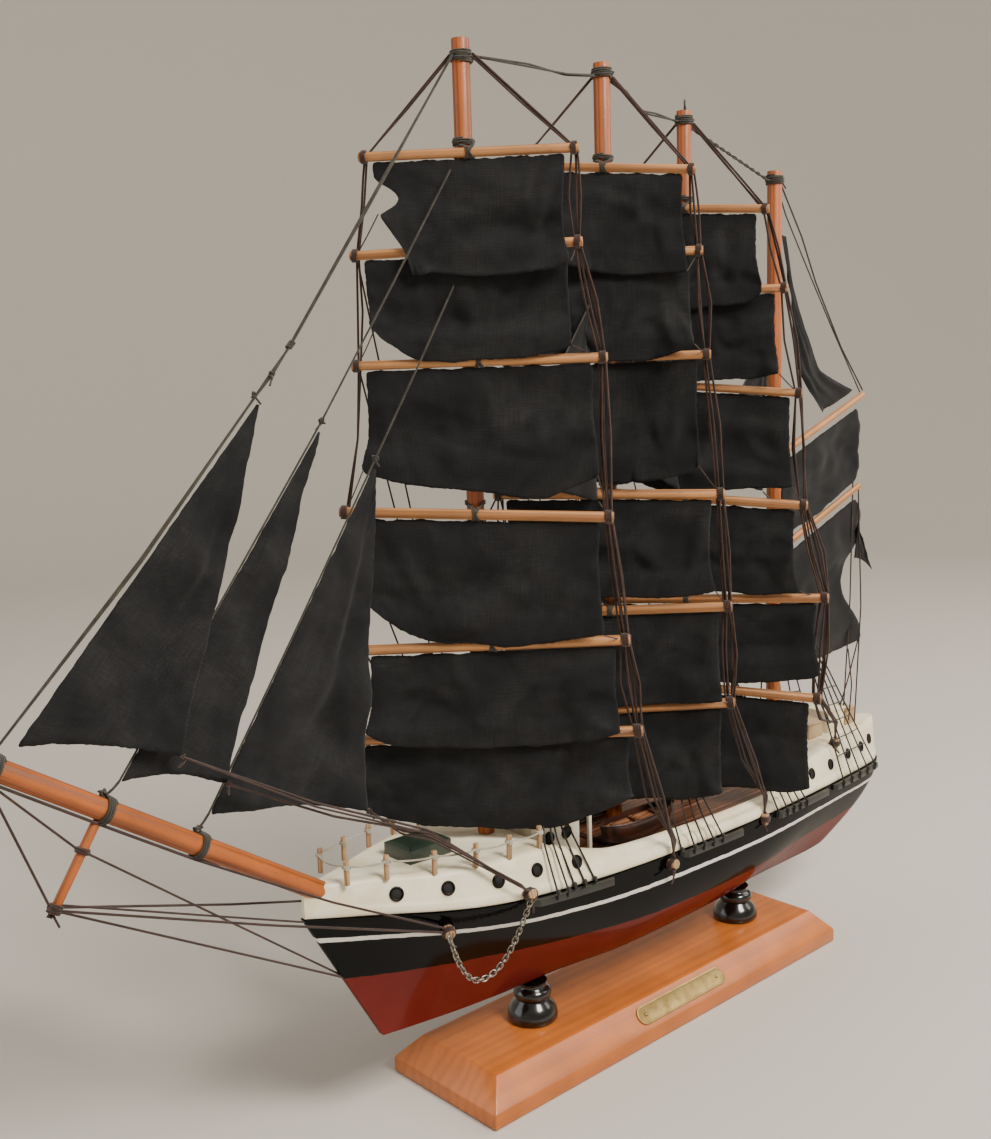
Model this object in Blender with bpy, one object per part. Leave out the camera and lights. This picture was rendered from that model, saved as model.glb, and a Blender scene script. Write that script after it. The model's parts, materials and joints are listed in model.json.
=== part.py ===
"""A souvenir four-masted sailing ship of wood, black cotton and thread, on its stand.

+X points to the bow, +Y to port, +Z up. The origin is the centre of the stand board's underside.
Every length below is in millimetres and is turned to metres when a mesh is made.
"""
import bpy
import bmesh
from math import cos, pi, radians, sin, sqrt
from mathutils import Vector

MM = 0.001
GAP = 0.3                    # left between pieces that touch

# stand
BOARD_LENGTH = 260.0
BOARD_WIDTH = 71.0
BOARD_EDGE = 7.0             # height of the upright edge, below the chamfer
BOARD_HEIGHT = 18.1
BOARD_CHAMFER = 10.0
FORE_PEDESTAL_X = 72.6
AFT_PEDESTAL_X = -85.7
PEDESTAL_PROFILE = [(11.4, 0.0), (12.2, 2.2), (11.6, 5.2), (9.6, 8.4), (7.9, 10.2), (8.7, 11.6),
                    (9.2, 13.2), (8.7, 14.8), (6.9, 16.2), (6.6, 17.6), (7.2, 18.9)]   # radius, height
PEDESTAL_SIDES = 24
PLATE_LENGTH = 66.0
PLATE_WIDTH = 9.2
PLATE_THICKNESS = 0.5
PLATE_X = -1.5
PLATE_POINTS = 20            # around its outline

# hull: the stem and stern meet the keel and the sheer at these places
STEM_FOOT_X = 162.6
STEM_HEAD_X = 199.3
HEEL_X = -165.0
TAFFRAIL_X = -222.0
KEEL_HALF_WIDTH = 1.5
SHEER = [(-222, 82.5), (-198, 84.0), (-111, 89.8), (-55, 92.0), (20, 94.2), (51, 95.5), (111, 99.7),
         (162, 105.3), (199.3, 108.7)]
KEEL = [(-165, 38.4), (-150, 37.6), (-90, 37.2), (85, 38.2), (110, 39.5), (140, 42.2), (162.6, 44.7)]
HALF_BEAM = [(-222, 2.5), (-219, 6.5), (-213, 11.0), (-204, 15.0), (-190, 18.5), (-160, 24.5),
             (-130, 30.0), (-100, 34.2), (-60, 38.0), (-20, 39.8), (20, 40.0), (60, 39.6), (90, 38.4),
             (113, 36.6), (130, 33.8), (148, 28.3), (162, 21.8), (175, 15.0), (187, 8.6), (195, 4.0),
             (199.3, 1.5)]
FULLNESS = [(-222, 1.3), (-130, 1.5), (-60, 2.1), (20, 2.2), (75, 1.6), (140, 1.05), (199.3, 1.0)]
STATIONS = [0, 0.008, 0.022, 0.045, 0.08, 0.13, 0.19, 0.26, 0.34, 0.42, 0.5, 0.58, 0.66, 0.73,
            0.79, 0.84, 0.88, 0.91, 0.94, 0.965, 0.985, 1.0]
HULL_LEVELS = [0, 0.08, 0.18, 0.3, 0.44, 0.6, 0.8, 1.0]
CHANNELS = [(57, 106), (-40, 8), (-130, -72), (-205, -138)]   # aft and fore end of each channel
CHANNEL_PROUD = 2.6
CHANNEL_DEPTH = 3.2
CHANNEL_ROOT = 2.0           # how far it is let into the side

# upper works
POOP_FORE_X = -106.0
POOP_STEP_X = -103.5
RISE_X = 74.0                # the bulwark climbs to the forecastle from here to the well's fore end
DECK = [(-222, 107.0), (-106, 107.8), (-103.5, 99.5), (-60, 100.2), (20, 103.6), (50, 105.8),
        (74, 112.0), (91, 117.4), (113, 118.2), (148, 119.4), (183, 121.6), (199.3, 121.0)]
WELL_AFT_X = -98.0
WELL_FORE_X = 90.0
WELL_FLOOR = [(-98, 96.9), (42, 97.0), (54, 97.9), (90, 100.7)]
WELL_MARGIN = 7.5            # thickness of the bulwark beside the well
WELL_CUT_TOP = 140.0
WORKS_INSET = 0.6
WORKS_ROUND = 1.8
WORKS_LEAN = 2.6

DECKHOUSE = (54.0, 86.0, 17.0, 128.0)          # aft end, fore end, half width, roof height
BOATS = (-8.0, 44.0)                           # aft and fore end of the two boats
BOAT_Y = 20.0
BOAT_HALF_BEAM = 6.2
BOAT_DEPTH = 10.5
SKID = 2.6
SKID_SHORT = 4.0             # how far a skid stops short of its boat's ends
BEAM_IN = 9.0                # from a boat's end to the beam across
BEAM_HALF = 1.6

# spars
MASTS = {"fore": (98.5, 461.0, 3.8), "main": (12.8, 462.0, 3.9), "mizzen": (-46.0, 447.0, 3.6),
         "jigger": (-121.0, 424.0, 3.9)}       # place along the ship, height of the top, radius
SPRIT_HEEL = (186.0, 0.0, 115.5)
SPRIT_TIP = (322.0, 0.0, 203.8)
SPRIT_RADIUS = 4.3
STRIKER_X = 280.0
STRIKER_LENGTH = 34.0
STRIKER_RADIUS = 1.8
SOCKET_DEPTH = 60.0

# square rig, from the lowest yard up: height, half length, tilt in degrees (port end up),
# shift to port, and drop of the sail below it
TIERS = ["course", "lower_topsail", "upper_topsail", "topgallant", "royal", "skysail"]
BRACE = {"fore": 40.0, "main": 38.0, "mizzen": 32.0}   # degrees that the port arms are swung aft
YARDS = {
    "fore": [(165.0, 65.5, 2.4, 6.0, 35.5), (206.0, 60.5, 2.2, 6.0, 41.0),
             (264.0, 59.7, -1.9, 0.5, 52.5), (329.1, 54.8, 0.3, 4.0, 49.5),
             (375.9, 49.3, 1.2, 0.0, 41.5), (414.7, 46.2, -0.4, 2.5, 44.5)],
    "main": [(159.7, 59.5, 4.0, 0.0, 41.0), (208.7, 58.2, 2.1, 0.0, 42.0),
             (265.0, 54.9, -0.6, 0.0, 45.0), (328.9, 48.8, 0.5, 0.0, 54.0),
             (376.3, 45.5, 0.0, 0.0, 43.0), (415.1, 42.5, -4.0, 0.0, 42.0)],
    "mizzen": [(160.0, 68.0, -3.7, 0.0, 45.0), (205.8, 71.0, 1.4, 0.0, 36.5),
               (258.0, 60.5, -3.9, 0.0, 42.0), (314.1, 58.0, -5.0, 0.0, 47.0),
               (360.0, 50.5, 0.0, 0.0, 39.5), (400.1, 41.5, -3.4, 0.0, 43.0)],
}
LOW_YARD_RADIUS = 2.3
HIGH_YARD_RADIUS = 2.0
SAIL_INSET = 6.0             # bare yard outside each side of its sail
SAIL_BELLY = 8.0
SAIL_FOOT = 5.0              # how far the foot stands before its yard
SAIL_THICK = 1.0
SAIL_SPREAD = 0.05           # how much wider the foot is than the head
SAIL_HANG = 0.9              # from a yard's underside to the top edge of its sail
ARM_IN = 2.2                 # from a yard's end to the thread tied round it

# head sails: head, tack and clew; the clew is swung to port
JIBS = {
    "flying_jib": [(204.6, 0, 318.0), (308.5, 0, 205.6), (252.2, 9.0, 191.1)],
    "outer_jib": [(177.3, 0, 306.5), (272.5, 0, 184.4), (234.6, 9.0, 176.5)],
    "inner_jib": [(151.7, 0, 290.1), (237.8, 0, 163.2), (170.6, 9.0, 149.4)],
}

# fore-and-aft rig of the jigger mast, in the plane of the masts
UPPER_GAFF = [(-126.0, 273.2), (-209.0, 303.3)]
LOWER_GAFF = [(-126.0, 220.3), (-206.3, 249.6)]
GAFF_RADIUS = 2.0
GAFF_TOPSAIL = [[(-127.5, 392.0), (-136.0, 362.8), (-141.0, 325.6), (-168.5, 294.6)],
                [(-131.5, 391.0), (-145.1, 345.1), (-167.8, 321.4), (-197.0, 306.5)]]
UPPER_SPANKER = [[(-127.5, 268.0), (-128.0, 254.0), (-128.0, 240.0), (-128.0, 226.4)],
                 [(-203.0, 295.6), (-205.5, 281.0), (-204.5, 266.0), (-200.0, 253.0)]]
LOWER_SPANKER = [[(-127.5, 215.0), (-128.0, 193.0), (-128.0, 170.0), (-128.5, 148.5)],
                 [(-202.5, 242.4), (-194.0, 214.0), (-189.5, 192.0), (-208.5, 157.0)]]

# thread
STAY_RADIUS = 0.45
BRACE_RADIUS = 0.8
MIDDLE_STAYS = [("fore", 455.0, "main", 456.0, 5.0), ("main", 455.0, "mizzen", 441.5, 1.5),
                ("mizzen", 440.0, "jigger", 418.5, 1.5)]   # from, its height, to, its height, sag
PEAK_STAY = [(-160, 0, 367), (-186, 0, 331)]               # between the jigger mast's top and the gaff
FORE_STAY_KNOT = (190.2, 0, 337.5)
BRACE_PINS = {"fore": [(14.0, 45.5, 97.2), (62.0, -44.5, 98.5)],
              "main": [(-59.0, 42.5, 93.0), (-6.0, -45.5, 96.5)],
              "mizzen": [(-150.0, 31.6, 91.0), (-104.0, -38.5, 93.0)]}    # port and starboard
COLLAR_BELOW_TOP = 6.0       # the lashing round each masthead
COLLAR_HALF_HEIGHT = 2.5
COLLAR_THICK = 1.3
COLLAR_SIDES = 12
STAY_OFF_MAST = 0.7          # how far into the collar a thread starts

# chain: hung between two pegs on the port bow
CHAIN_AFT = (108.6, 39.6, 102.0)
CHAIN_FORE = (148.0, 30.6, 94.0)
CHAIN_RADIUS = 0.9
CHAIN_SAG = 26.0
CHAIN_LEAN = 0.35            # moves the lowest point towards the lower peg
CHAIN_STEPS = 24


def blend(table, x):
    """Reads a smooth curve through the table's points (monotone between them)."""
    if x <= table[0][0]:
        return table[0][1]
    for i in range(len(table) - 1):
        x0, y0 = table[i]
        x1, y1 = table[i + 1]
        if x <= x1:
            slope = (y1 - y0) / (x1 - x0)
            before = slope
            after = slope
            if i > 0:
                before = (y0 - table[i - 1][1]) / (x0 - table[i - 1][0])
            if i < len(table) - 2:
                after = (table[i + 2][1] - y1) / (table[i + 2][0] - x1)
            m0 = 0.0 if before * slope <= 0 else 2 * before * slope / (before + slope)
            m1 = 0.0 if after * slope <= 0 else 2 * after * slope / (after + slope)
            t = (x - x0) / (x1 - x0)
            h = x1 - x0
            return ((2 * t ** 3 - 3 * t ** 2 + 1) * y0 + (t ** 3 - 2 * t ** 2 + t) * h * m0
                    + (3 * t ** 2 - 2 * t ** 3) * y1 + (t ** 3 - t ** 2) * h * m1)
    return table[-1][1]


def finish(name, color, roughness, metallic=0.0):
    material = bpy.data.materials.new(name)
    material.use_nodes = True
    shader = material.node_tree.nodes["Principled BSDF"]
    shader.inputs["Base Color"].default_value = (*color, 1.0)
    shader.inputs["Roughness"].default_value = roughness
    shader.inputs["Metallic"].default_value = metallic
    return material


def make(name, points, faces, material, smooth=0):
    """Makes an object from points in millimetres; smooth is the sharpness angle, 0 for flat faces."""
    mesh = bpy.data.meshes.new(name)
    mesh.from_pydata([Vector(p) * MM for p in points], [], faces)
    shape = bmesh.new()
    shape.from_mesh(mesh)
    bmesh.ops.recalc_face_normals(shape, faces=shape.faces)
    shape.to_mesh(mesh)
    shape.free()
    if smooth:
        mesh.shade_smooth()
        mesh.set_sharp_from_angle(angle=radians(smooth))
    mesh.materials.append(material)
    thing = bpy.data.objects.new(name, mesh)
    bpy.context.collection.objects.link(thing)
    return thing


def loft(rings):
    """Points and faces of a closed skin over rings of equal length, capped at both ends."""
    size = len(rings[0])
    points = [p for ring in rings for p in ring]
    faces = []
    for i in range(len(rings) - 1):
        for j in range(size):
            k = (j + 1) % size
            faces.append((i * size + j, i * size + k, (i + 1) * size + k, (i + 1) * size + j))
    last = (len(rings) - 1) * size
    for j in range(size // 2 - 1):
        mirror = size - 1 - j
        faces.append((j, mirror, mirror - 1, j + 1))
        faces.append((last + j, last + j + 1, last + mirror - 1, last + mirror))
    return points, faces


def tube(route, radius, sides):
    """Points and faces of a round bar along a route, mitred at its bends, with flat ends."""
    route = [Vector(p) for p in route]
    rings = []
    side = None
    for i, place in enumerate(route):
        before = (place - route[max(i - 1, 0)]).normalized()
        after = (route[min(i + 1, len(route) - 1)] - place).normalized()
        along = (before + after).normalized()
        if side is None:
            side = along.orthogonal().normalized()
        side = (side - side.dot(along) * along).normalized()
        up = along.cross(side)
        rings.append([place + radius * (cos(2 * pi * j / sides) * side + sin(2 * pi * j / sides) * up)
                      for j in range(sides)])
    points = [p for ring in rings for p in ring]
    faces = [tuple(range(sides)), tuple((len(rings) - 1) * sides + j for j in range(sides))]
    for i in range(len(rings) - 1):
        for j in range(sides):
            k = (j + 1) % sides
            faces.append((i * sides + j, i * sides + k, (i + 1) * sides + k, (i + 1) * sides + j))
    return points, faces


def boolean(target, other, operation):
    """Adds or cuts another object and deletes it."""
    modifier = target.modifiers.new(operation.lower(), "BOOLEAN")
    modifier.operation = operation
    modifier.solver = "EXACT"
    modifier.object = other
    graph = bpy.context.evaluated_depsgraph_get()
    mesh = bpy.data.meshes.new_from_object(target.evaluated_get(graph))
    target.modifiers.remove(modifier)
    target.data = mesh
    bpy.data.objects.remove(other)


def station_x(s, t):
    """Place along the ship of station s, 0 at the stern and 1 at the stem, at level t of the side."""
    stem = STEM_FOOT_X + (STEM_HEAD_X - STEM_FOOT_X) * t
    stern = HEEL_X + (TAFFRAIL_X - HEEL_X) * sin(t * pi / 2) ** 0.8
    return stern + (stem - stern) * s


def station_of(x):
    """The station whose sheer lies at x."""
    return (x - TAFFRAIL_X) / (STEM_HEAD_X - TAFFRAIL_X)


def hull_side(s, t):
    """A point of the port side, from the keel at t = 0 to the sheer at t = 1."""
    top_x = station_x(s, 1)
    low = blend(KEEL, station_x(s, 0))
    high = blend(SHEER, top_x)
    fullness = blend(FULLNESS, top_x)
    swell = (1 - (1 - t) ** fullness) ** (1 / (1 + 0.5 * (fullness - 1)))
    y = KEEL_HALF_WIDTH + (blend(HALF_BEAM, top_x) - KEEL_HALF_WIDTH) * swell
    return (station_x(s, t), y, low + (high - low) * t)


def hull():
    rings = []
    for s in STATIONS:
        port = [hull_side(s, t) for t in HULL_LEVELS]
        rings.append(port + [(x, -y, z) for x, y, z in reversed(port)])
    body = make("hull", *loft(rings), finish("hull_paint", (0.012, 0.012, 0.013), 0.25), 40)
    for aft, fore in CHANNELS:
        for side in (1, -1):
            rings = []
            for i in range(6):
                x = aft + (fore - aft) * i / 5
                y = blend(HALF_BEAM, x)
                z = blend(SHEER, x) - GAP
                rings.append([(x, side * yy, zz) for yy, zz in (
                    (y - CHANNEL_ROOT, z - CHANNEL_DEPTH), (y + CHANNEL_PROUD, z - CHANNEL_DEPTH),
                    (y + CHANNEL_PROUD, z), (y - CHANNEL_ROOT, z))])
            channel = make("channel", *loft(rings), body.data.materials[0])
            boolean(body, channel, "UNION")
    return body


def block_ring(s, margin, low, high, round_over):
    """One ring of a block that follows the sheer, narrower than it by margin."""
    x = station_x(s, 1) - margin * (2 * s - 1)
    y = max(blend(HALF_BEAM, station_x(s, 1)) - margin, 0.9)
    lean = min(WORKS_LEAN, y * 0.3)
    shoulder = min(1.6, y * 0.2)
    port = [(x, y, low), (x, y - 0.3, low + 0.45 * (high - low)), (x, y - lean, high - round_over),
            (x, y - lean - shoulder, high)]
    return port + [(px, -py, pz) for px, py, pz in reversed(port)]


def upper_works():
    edges = [station_of(x) for x in (POOP_FORE_X, POOP_STEP_X, RISE_X, DECK[7][0], DECK[10][0])]
    rings = []
    for s in sorted(STATIONS + edges):
        x = station_x(s, 1)
        rings.append(block_ring(s, WORKS_INSET, blend(SHEER, x) + GAP, blend(DECK, x), WORKS_ROUND))
    body = make("upper_works", *loft(rings), finish("cream_paint", (0.86, 0.80, 0.66), 0.45), 35)

    well = []
    for x in (WELL_AFT_X, -60, -20, 20, 42, 54, 72, WELL_FORE_X):
        y = blend(HALF_BEAM, x) - WELL_MARGIN
        floor = blend(WELL_FLOOR, x)
        well.append([(x, y, floor), (x, y, WELL_CUT_TOP), (x, -y, WELL_CUT_TOP), (x, -y, floor)])
    boolean(body, make("well", *loft(well), body.data.materials[0]), "DIFFERENCE")

    heel = Vector(SPRIT_HEEL)
    along = (Vector(SPRIT_TIP) - heel).normalized()
    socket = tube([heel - GAP * along, heel + SOCKET_DEPTH * along], SPRIT_RADIUS + GAP, 24)
    boolean(body, make("socket", *socket, body.data.materials[0]), "DIFFERENCE")
    return body


def box(name, low, high, material):
    corners = [(x, y, z) for x in (low[0], high[0]) for y in (low[1], high[1])
               for z in (low[2], high[2])]
    faces = [(0, 1, 3, 2), (4, 6, 7, 5), (0, 4, 5, 1), (2, 3, 7, 6), (0, 2, 6, 4), (1, 5, 7, 3)]
    return make(name, corners, faces, material)


def deckhouse():
    aft, fore, half, roof = DECKHOUSE
    white = finish("house_white", (0.85, 0.8, 0.7), 0.5)
    return box("deckhouse", (aft, -half, blend(WELL_FLOOR, fore) + GAP), (fore, half, roof), white)


def boat_rings(aft, fore, side, floor):
    rings = []
    for i in range(9):
        f = -1 + 2 * i / 8
        x = (aft + fore) / 2 + f * (fore - aft) / 2
        y = BOAT_HALF_BEAM * max(0.12, sqrt(1 - abs(f) ** 2.4))
        keel = floor + 3.5 * abs(f) ** 3
        top = floor + BOAT_DEPTH + 1.5 * f * f
        middle = side * BOAT_Y
        rings.append([(x, middle + k * y, z) for k, z in (
            (0.25, keel), (0.85, keel + 0.35 * BOAT_DEPTH), (1.0, top), (-1.0, top),
            (-0.85, keel + 0.35 * BOAT_DEPTH), (-0.25, keel))])
    return rings


def lifeboats():
    """Two boats on two skids, with beams across, as one glued piece."""
    wood = finish("stained_wood", (0.16, 0.06, 0.03), 0.35)
    base = blend(WELL_FLOOR, 42) + GAP
    aft, fore = BOATS
    start, end = aft + SKID_SHORT, fore - SKID_SHORT
    body = box("lifeboats", (start, BOAT_Y - SKID, base), (end, BOAT_Y + SKID, base + SKID), wood)
    skid = box("skid", (start, -BOAT_Y - SKID, base), (end, -BOAT_Y + SKID, base + SKID), wood)
    boolean(body, skid, "UNION")
    for x in (aft + BEAM_IN, fore - BEAM_IN):
        low, high = (x - BEAM_HALF, -BOAT_Y, base + GAP), (x + BEAM_HALF, BOAT_Y, base + SKID - GAP)
        boolean(body, box("beam", low, high, wood), "UNION")
    for side in (1, -1):
        boat = make("boat", *loft(boat_rings(aft, fore, side, base + SKID - 0.8)), wood)
        boolean(body, boat, "UNION")
    return body


def stand():
    wood = finish("orange_varnish", (0.60, 0.22, 0.06), 0.22)
    rings = []
    for inset, z in ((0, 0), (0, BOARD_EDGE), (BOARD_CHAMFER, BOARD_HEIGHT)):
        a = BOARD_LENGTH / 2 - inset
        b = BOARD_WIDTH / 2 - inset
        rings.append([(a, b, z), (-a, b, z), (-a, -b, z), (a, -b, z)])
    make("stand_board", *loft(rings), wood)

    black = finish("black_gloss", (0.008, 0.008, 0.009), 0.12)
    for name, x in (("fore_pedestal", FORE_PEDESTAL_X), ("aft_pedestal", AFT_PEDESTAL_X)):
        rings = []
        room = blend(KEEL, x) - BOARD_HEIGHT - 3 * GAP
        turns = [2 * pi * i / PEDESTAL_SIDES for i in range(PEDESTAL_SIDES)]
        for radius, height in PEDESTAL_PROFILE:
            z = BOARD_HEIGHT + GAP + height * room / PEDESTAL_PROFILE[-1][1]
            rings.append([(x + radius * cos(turn), radius * sin(turn), z) for turn in turns])
        make(name, *loft(rings), black, 35)

    # the plate lies on the port chamfer
    rise = BOARD_HEIGHT - BOARD_EDGE
    slope = sqrt(rise ** 2 + BOARD_CHAMFER ** 2)
    down = Vector((0, BOARD_CHAMFER / slope, -rise / slope))
    out = Vector((0, rise / slope, BOARD_CHAMFER / slope))
    middle = Vector((PLATE_X, BOARD_WIDTH / 2 - BOARD_CHAMFER / 2, BOARD_EDGE + rise / 2)) + GAP * out
    outline = []
    straight = PLATE_LENGTH / 2 - PLATE_WIDTH / 2
    for i in range(PLATE_POINTS):
        angle = 2 * pi * (i + 0.5) / PLATE_POINTS
        end = straight if cos(angle) > 0 else -straight
        outline.append((end + PLATE_WIDTH / 2 * cos(angle), PLATE_WIDTH / 2 * sin(angle)))
    rings = [[middle + Vector((u, 0, 0)) + v * down + h * out for u, v in outline]
             for h in (0, PLATE_THICKNESS)]
    make("nameplate", *loft(rings), finish("brass", (0.62, 0.50, 0.26), 0.4, 0.9))


def rod(name, start, end, radius, material, sides=12):
    return make(name, *tube([start, end], radius, sides), material, 40)


def spars():
    varnish = finish("mast_varnish", (0.55, 0.22, 0.07), 0.3)
    for name, (x, top, radius) in MASTS.items():
        if WELL_AFT_X < x < WELL_FORE_X:
            deck = blend(WELL_FLOOR, x)
        else:
            deck = blend(DECK, x)
        rod(name + "_mast", (x, 0, deck + 2 * GAP), (x, 0, top), radius, varnish)
    rod("bowsprit", SPRIT_HEEL, SPRIT_TIP, SPRIT_RADIUS, varnish, 16)

    heel = Vector(SPRIT_HEEL)
    along = (Vector(SPRIT_TIP) - heel).normalized()
    below = Vector((along.z, 0, -along.x))
    head = heel + along * ((STRIKER_X - heel.x) / along.x) + below * (SPRIT_RADIUS + GAP)
    rod("dolphin_striker", head, head + below * STRIKER_LENGTH, STRIKER_RADIUS, varnish, 10)


def yard_frame(mast, tier):
    """Centre, direction to port, forward normal and radius of one yard."""
    x, _, mast_radius = MASTS[mast]
    z, _, tilt, shift, _ = YARDS[mast][tier]
    angle = radians(BRACE[mast])
    radius = LOW_YARD_RADIUS if tier < 3 else HIGH_YARD_RADIUS
    forward = Vector((cos(angle), sin(angle), 0))
    level = Vector((-sin(angle), cos(angle), 0))
    port = (level * cos(radians(tilt)) + Vector((0, 0, sin(radians(tilt))))).normalized()
    centre = Vector((x, 0, z)) + forward * (mast_radius + radius + GAP) + port * shift
    return centre, port, forward, radius


def square_sail_point(mast, tier, u, v):
    """A point of a square sail; u runs from -1, starboard, to 1, port, and v from its head down."""
    _, half, _, _, drop = YARDS[mast][tier]
    centre, port, forward, radius = yard_frame(mast, tier)
    width = (half - SAIL_INSET) * (1 + SAIL_SPREAD * v)
    belly = SAIL_BELLY * sin(pi * v * 0.8) * (1 - 0.5 * u * u) + SAIL_FOOT * v
    sag = (radius + SAIL_HANG + SAIL_THICK / 2) + drop * v
    return centre + port * (u * width) + forward * belly - Vector((0, 0, sag))


def sheet(name, grid, normal, material):
    """A closed slab over a grid of points, half its thickness to each side of them."""
    rows = len(grid)
    cols = len(grid[0])
    offset = normal * (SAIL_THICK / 2)
    front = [Vector(p) + offset for row in grid for p in row]
    back = [Vector(p) - offset for row in grid for p in row]
    count = rows * cols
    faces = []
    for i in range(rows - 1):
        for j in range(cols - 1):
            a = i * cols + j
            square = (a, a + 1, a + cols + 1, a + cols)
            faces.append(square)
            faces.append(tuple(reversed([count + k for k in square])))
    rim = list(range(cols - 1)) + [(i + 1) * cols - 1 for i in range(rows - 1)]
    rim += [rows * cols - 1 - j for j in range(cols - 1)]
    rim += [(rows - 1 - i) * cols for i in range(rows - 1)]
    for a, b in zip(rim, rim[1:] + rim[:1]):
        faces.append((a, a + count, b + count, b))
    return make(name, front + back, faces, material)


def square_rig(cotton):
    pale = finish("pale_dowel", (0.66, 0.42, 0.23), 0.45)
    for mast in YARDS:
        for tier, title in enumerate(TIERS):
            centre, port, forward, radius = yard_frame(mast, tier)
            half = YARDS[mast][tier][1]
            start, end = centre - port * half, centre + port * half
            rod(f"{mast}_{title}_yard", start, end, radius, pale, 10)
            grid = [[square_sail_point(mast, tier, -1 + u / 2, v / 4) for u in range(5)]
                    for v in range(5)]
            sheet(f"{mast}_{title}_sail", grid, forward, cotton)


def fore_and_aft_rig(cotton):
    pale = finish("gaff_dowel", (0.66, 0.40, 0.21), 0.45)
    for name, (throat, peak) in (("upper_gaff", UPPER_GAFF), ("lower_gaff", LOWER_GAFF)):
        rod(name, (throat[0], 0, throat[1]), (peak[0], 0, peak[1]), GAFF_RADIUS, pale, 10)
    for name, (luff, leech), belly in (("gaff_topsail", GAFF_TOPSAIL, 2),
                                       ("upper_spanker", UPPER_SPANKER, 5),
                                       ("lower_spanker", LOWER_SPANKER, 5)):
        grid = []
        for a, b in zip(luff, leech):
            row = []
            for i in range(4):
                f = i / 3
                row.append((a[0] + (b[0] - a[0]) * f, belly * sin(pi * f), a[1] + (b[1] - a[1]) * f))
            grid.append(row)
        sheet(name, grid, Vector((0, 1, 0)), cotton)


def jibs(cotton):
    for name, (head, tack, clew) in JIBS.items():
        head, tack, clew = Vector(head), Vector(tack), Vector(clew)
        grid = []
        for i in range(5):
            v = i / 4
            luff = head.lerp(tack, v)
            leech = head.lerp(clew, v)
            if i == 0:
                leech = head + (clew - tack).normalized() * 2.0
            grid.append([luff.lerp(leech, u / 3) for u in range(4)])
        sheet(name, grid, Vector((0, 1, 0)), cotton)


def masthead_collar(name, thread):
    """The ring of thread wound round one masthead."""
    x, top, radius = MASTS[name]
    size = COLLAR_SIDES
    turns = [2 * pi * i / size for i in range(size)]
    points = []
    for wide in (radius + GAP + COLLAR_THICK, radius + GAP):
        for height in (-COLLAR_HALF_HEIGHT, COLLAR_HALF_HEIGHT):
            z = top - COLLAR_BELOW_TOP + height
            points += [(x + wide * cos(turn), wide * sin(turn), z) for turn in turns]
    faces = []
    for i in range(size):
        k = (i + 1) % size
        faces.append((i, k, size + k, size + i))
        faces.append((2 * size + i, 3 * size + i, 3 * size + k, 2 * size + k))
        faces.append((i, 2 * size + i, 2 * size + k, k))
        faces.append((size + i, size + k, 3 * size + k, 3 * size + i))
    return make("standing_rigging" if name == "fore" else "collar", points, faces, thread)


def rigging():
    """The stays from truck to truck and down to the bowsprit, with the braces that hang down both
    sides and tie to the pegs, knotted together as one piece of thread work."""
    thread = finish("dark_thread", (0.05, 0.035, 0.03), 0.8)
    collar = {name: masthead_collar(name, thread) for name in MASTS}
    body = collar["fore"]
    reach = {name: MASTS[name][2] + GAP + STAY_OFF_MAST for name in MASTS}

    def add(route, radius):
        boolean(body, make("strand", *tube(route, radius, 6), thread), "UNION")

    for name in ("main", "mizzen", "jigger"):
        boolean(body, collar[name], "UNION")
    for fore, fore_z, aft, aft_z, sag in MIDDLE_STAYS:
        fore_x = MASTS[fore][0] - reach[fore]
        aft_x = MASTS[aft][0] + reach[aft]
        middle = ((fore_x + aft_x) / 2, 0, (fore_z + aft_z) / 2 - sag)
        add([(fore_x, 0, fore_z), middle, (aft_x, 0, aft_z)], STAY_RADIUS)
    x, top, _ = MASTS["jigger"]
    peak_x, peak_z = UPPER_GAFF[1]
    start = (x - reach["jigger"], 0, top - COLLAR_BELOW_TOP)
    add([start, *PEAK_STAY, (peak_x, 0, peak_z + GAFF_RADIUS + 1.2)], STAY_RADIUS)
    x, top, _ = MASTS["fore"]
    start = (x + reach["fore"], 0, top - COLLAR_BELOW_TOP)
    head, tack, _ = JIBS["flying_jib"]                     # the stay passes just before this sail
    past_head, past_tack = (head[0] + 2.4, 0, head[2] + 0.6), (tack[0] + 2.6, 0, tack[2] + 2.0)
    add([start, FORE_STAY_KNOT, past_head, past_tack], STAY_RADIUS)

    for mast in YARDS:
        side_x, top, _ = MASTS[mast]
        for side in (1, -1):
            route = [(side_x, side * reach[mast], top - COLLAR_BELOW_TOP)]
            for tier in reversed(range(6)):
                centre, port, forward, radius = yard_frame(mast, tier)
                out = side * (YARDS[mast][tier][1] - ARM_IN)
                route.append(centre + port * out - forward * (radius + GAP + BRACE_RADIUS))
            route.append(BRACE_PINS[mast][0 if side > 0 else 1])
            add(route, BRACE_RADIUS)
    return body


def anchor_chain():
    a = Vector(CHAIN_AFT)
    b = Vector(CHAIN_FORE)
    route = []
    for i in range(CHAIN_STEPS + 1):
        t = i / CHAIN_STEPS
        place = a.lerp(b, t + CHAIN_LEAN * t * (1 - t))
        place.z -= CHAIN_SAG * (1 - abs(2 * t - 1) ** 2.2)
        route.append(place)
    steel = finish("steel_chain", (0.55, 0.52, 0.45), 0.3, 1.0)
    return make("anchor_chain", *tube(route, CHAIN_RADIUS, 8), steel)


def main():
    for thing in list(bpy.data.objects):
        bpy.data.objects.remove(thing)
    stand()
    hull()
    upper_works()
    deckhouse()
    lifeboats()
    spars()
    cotton = finish("black_cotton", (0.018, 0.019, 0.021), 0.9)
    square_rig(cotton)
    fore_and_aft_rig(cotton)
    jibs(cotton)
    rigging()
    anchor_chain()


main()
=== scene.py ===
import json
from math import cos, pi, radians, sin, sqrt, tau

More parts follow.
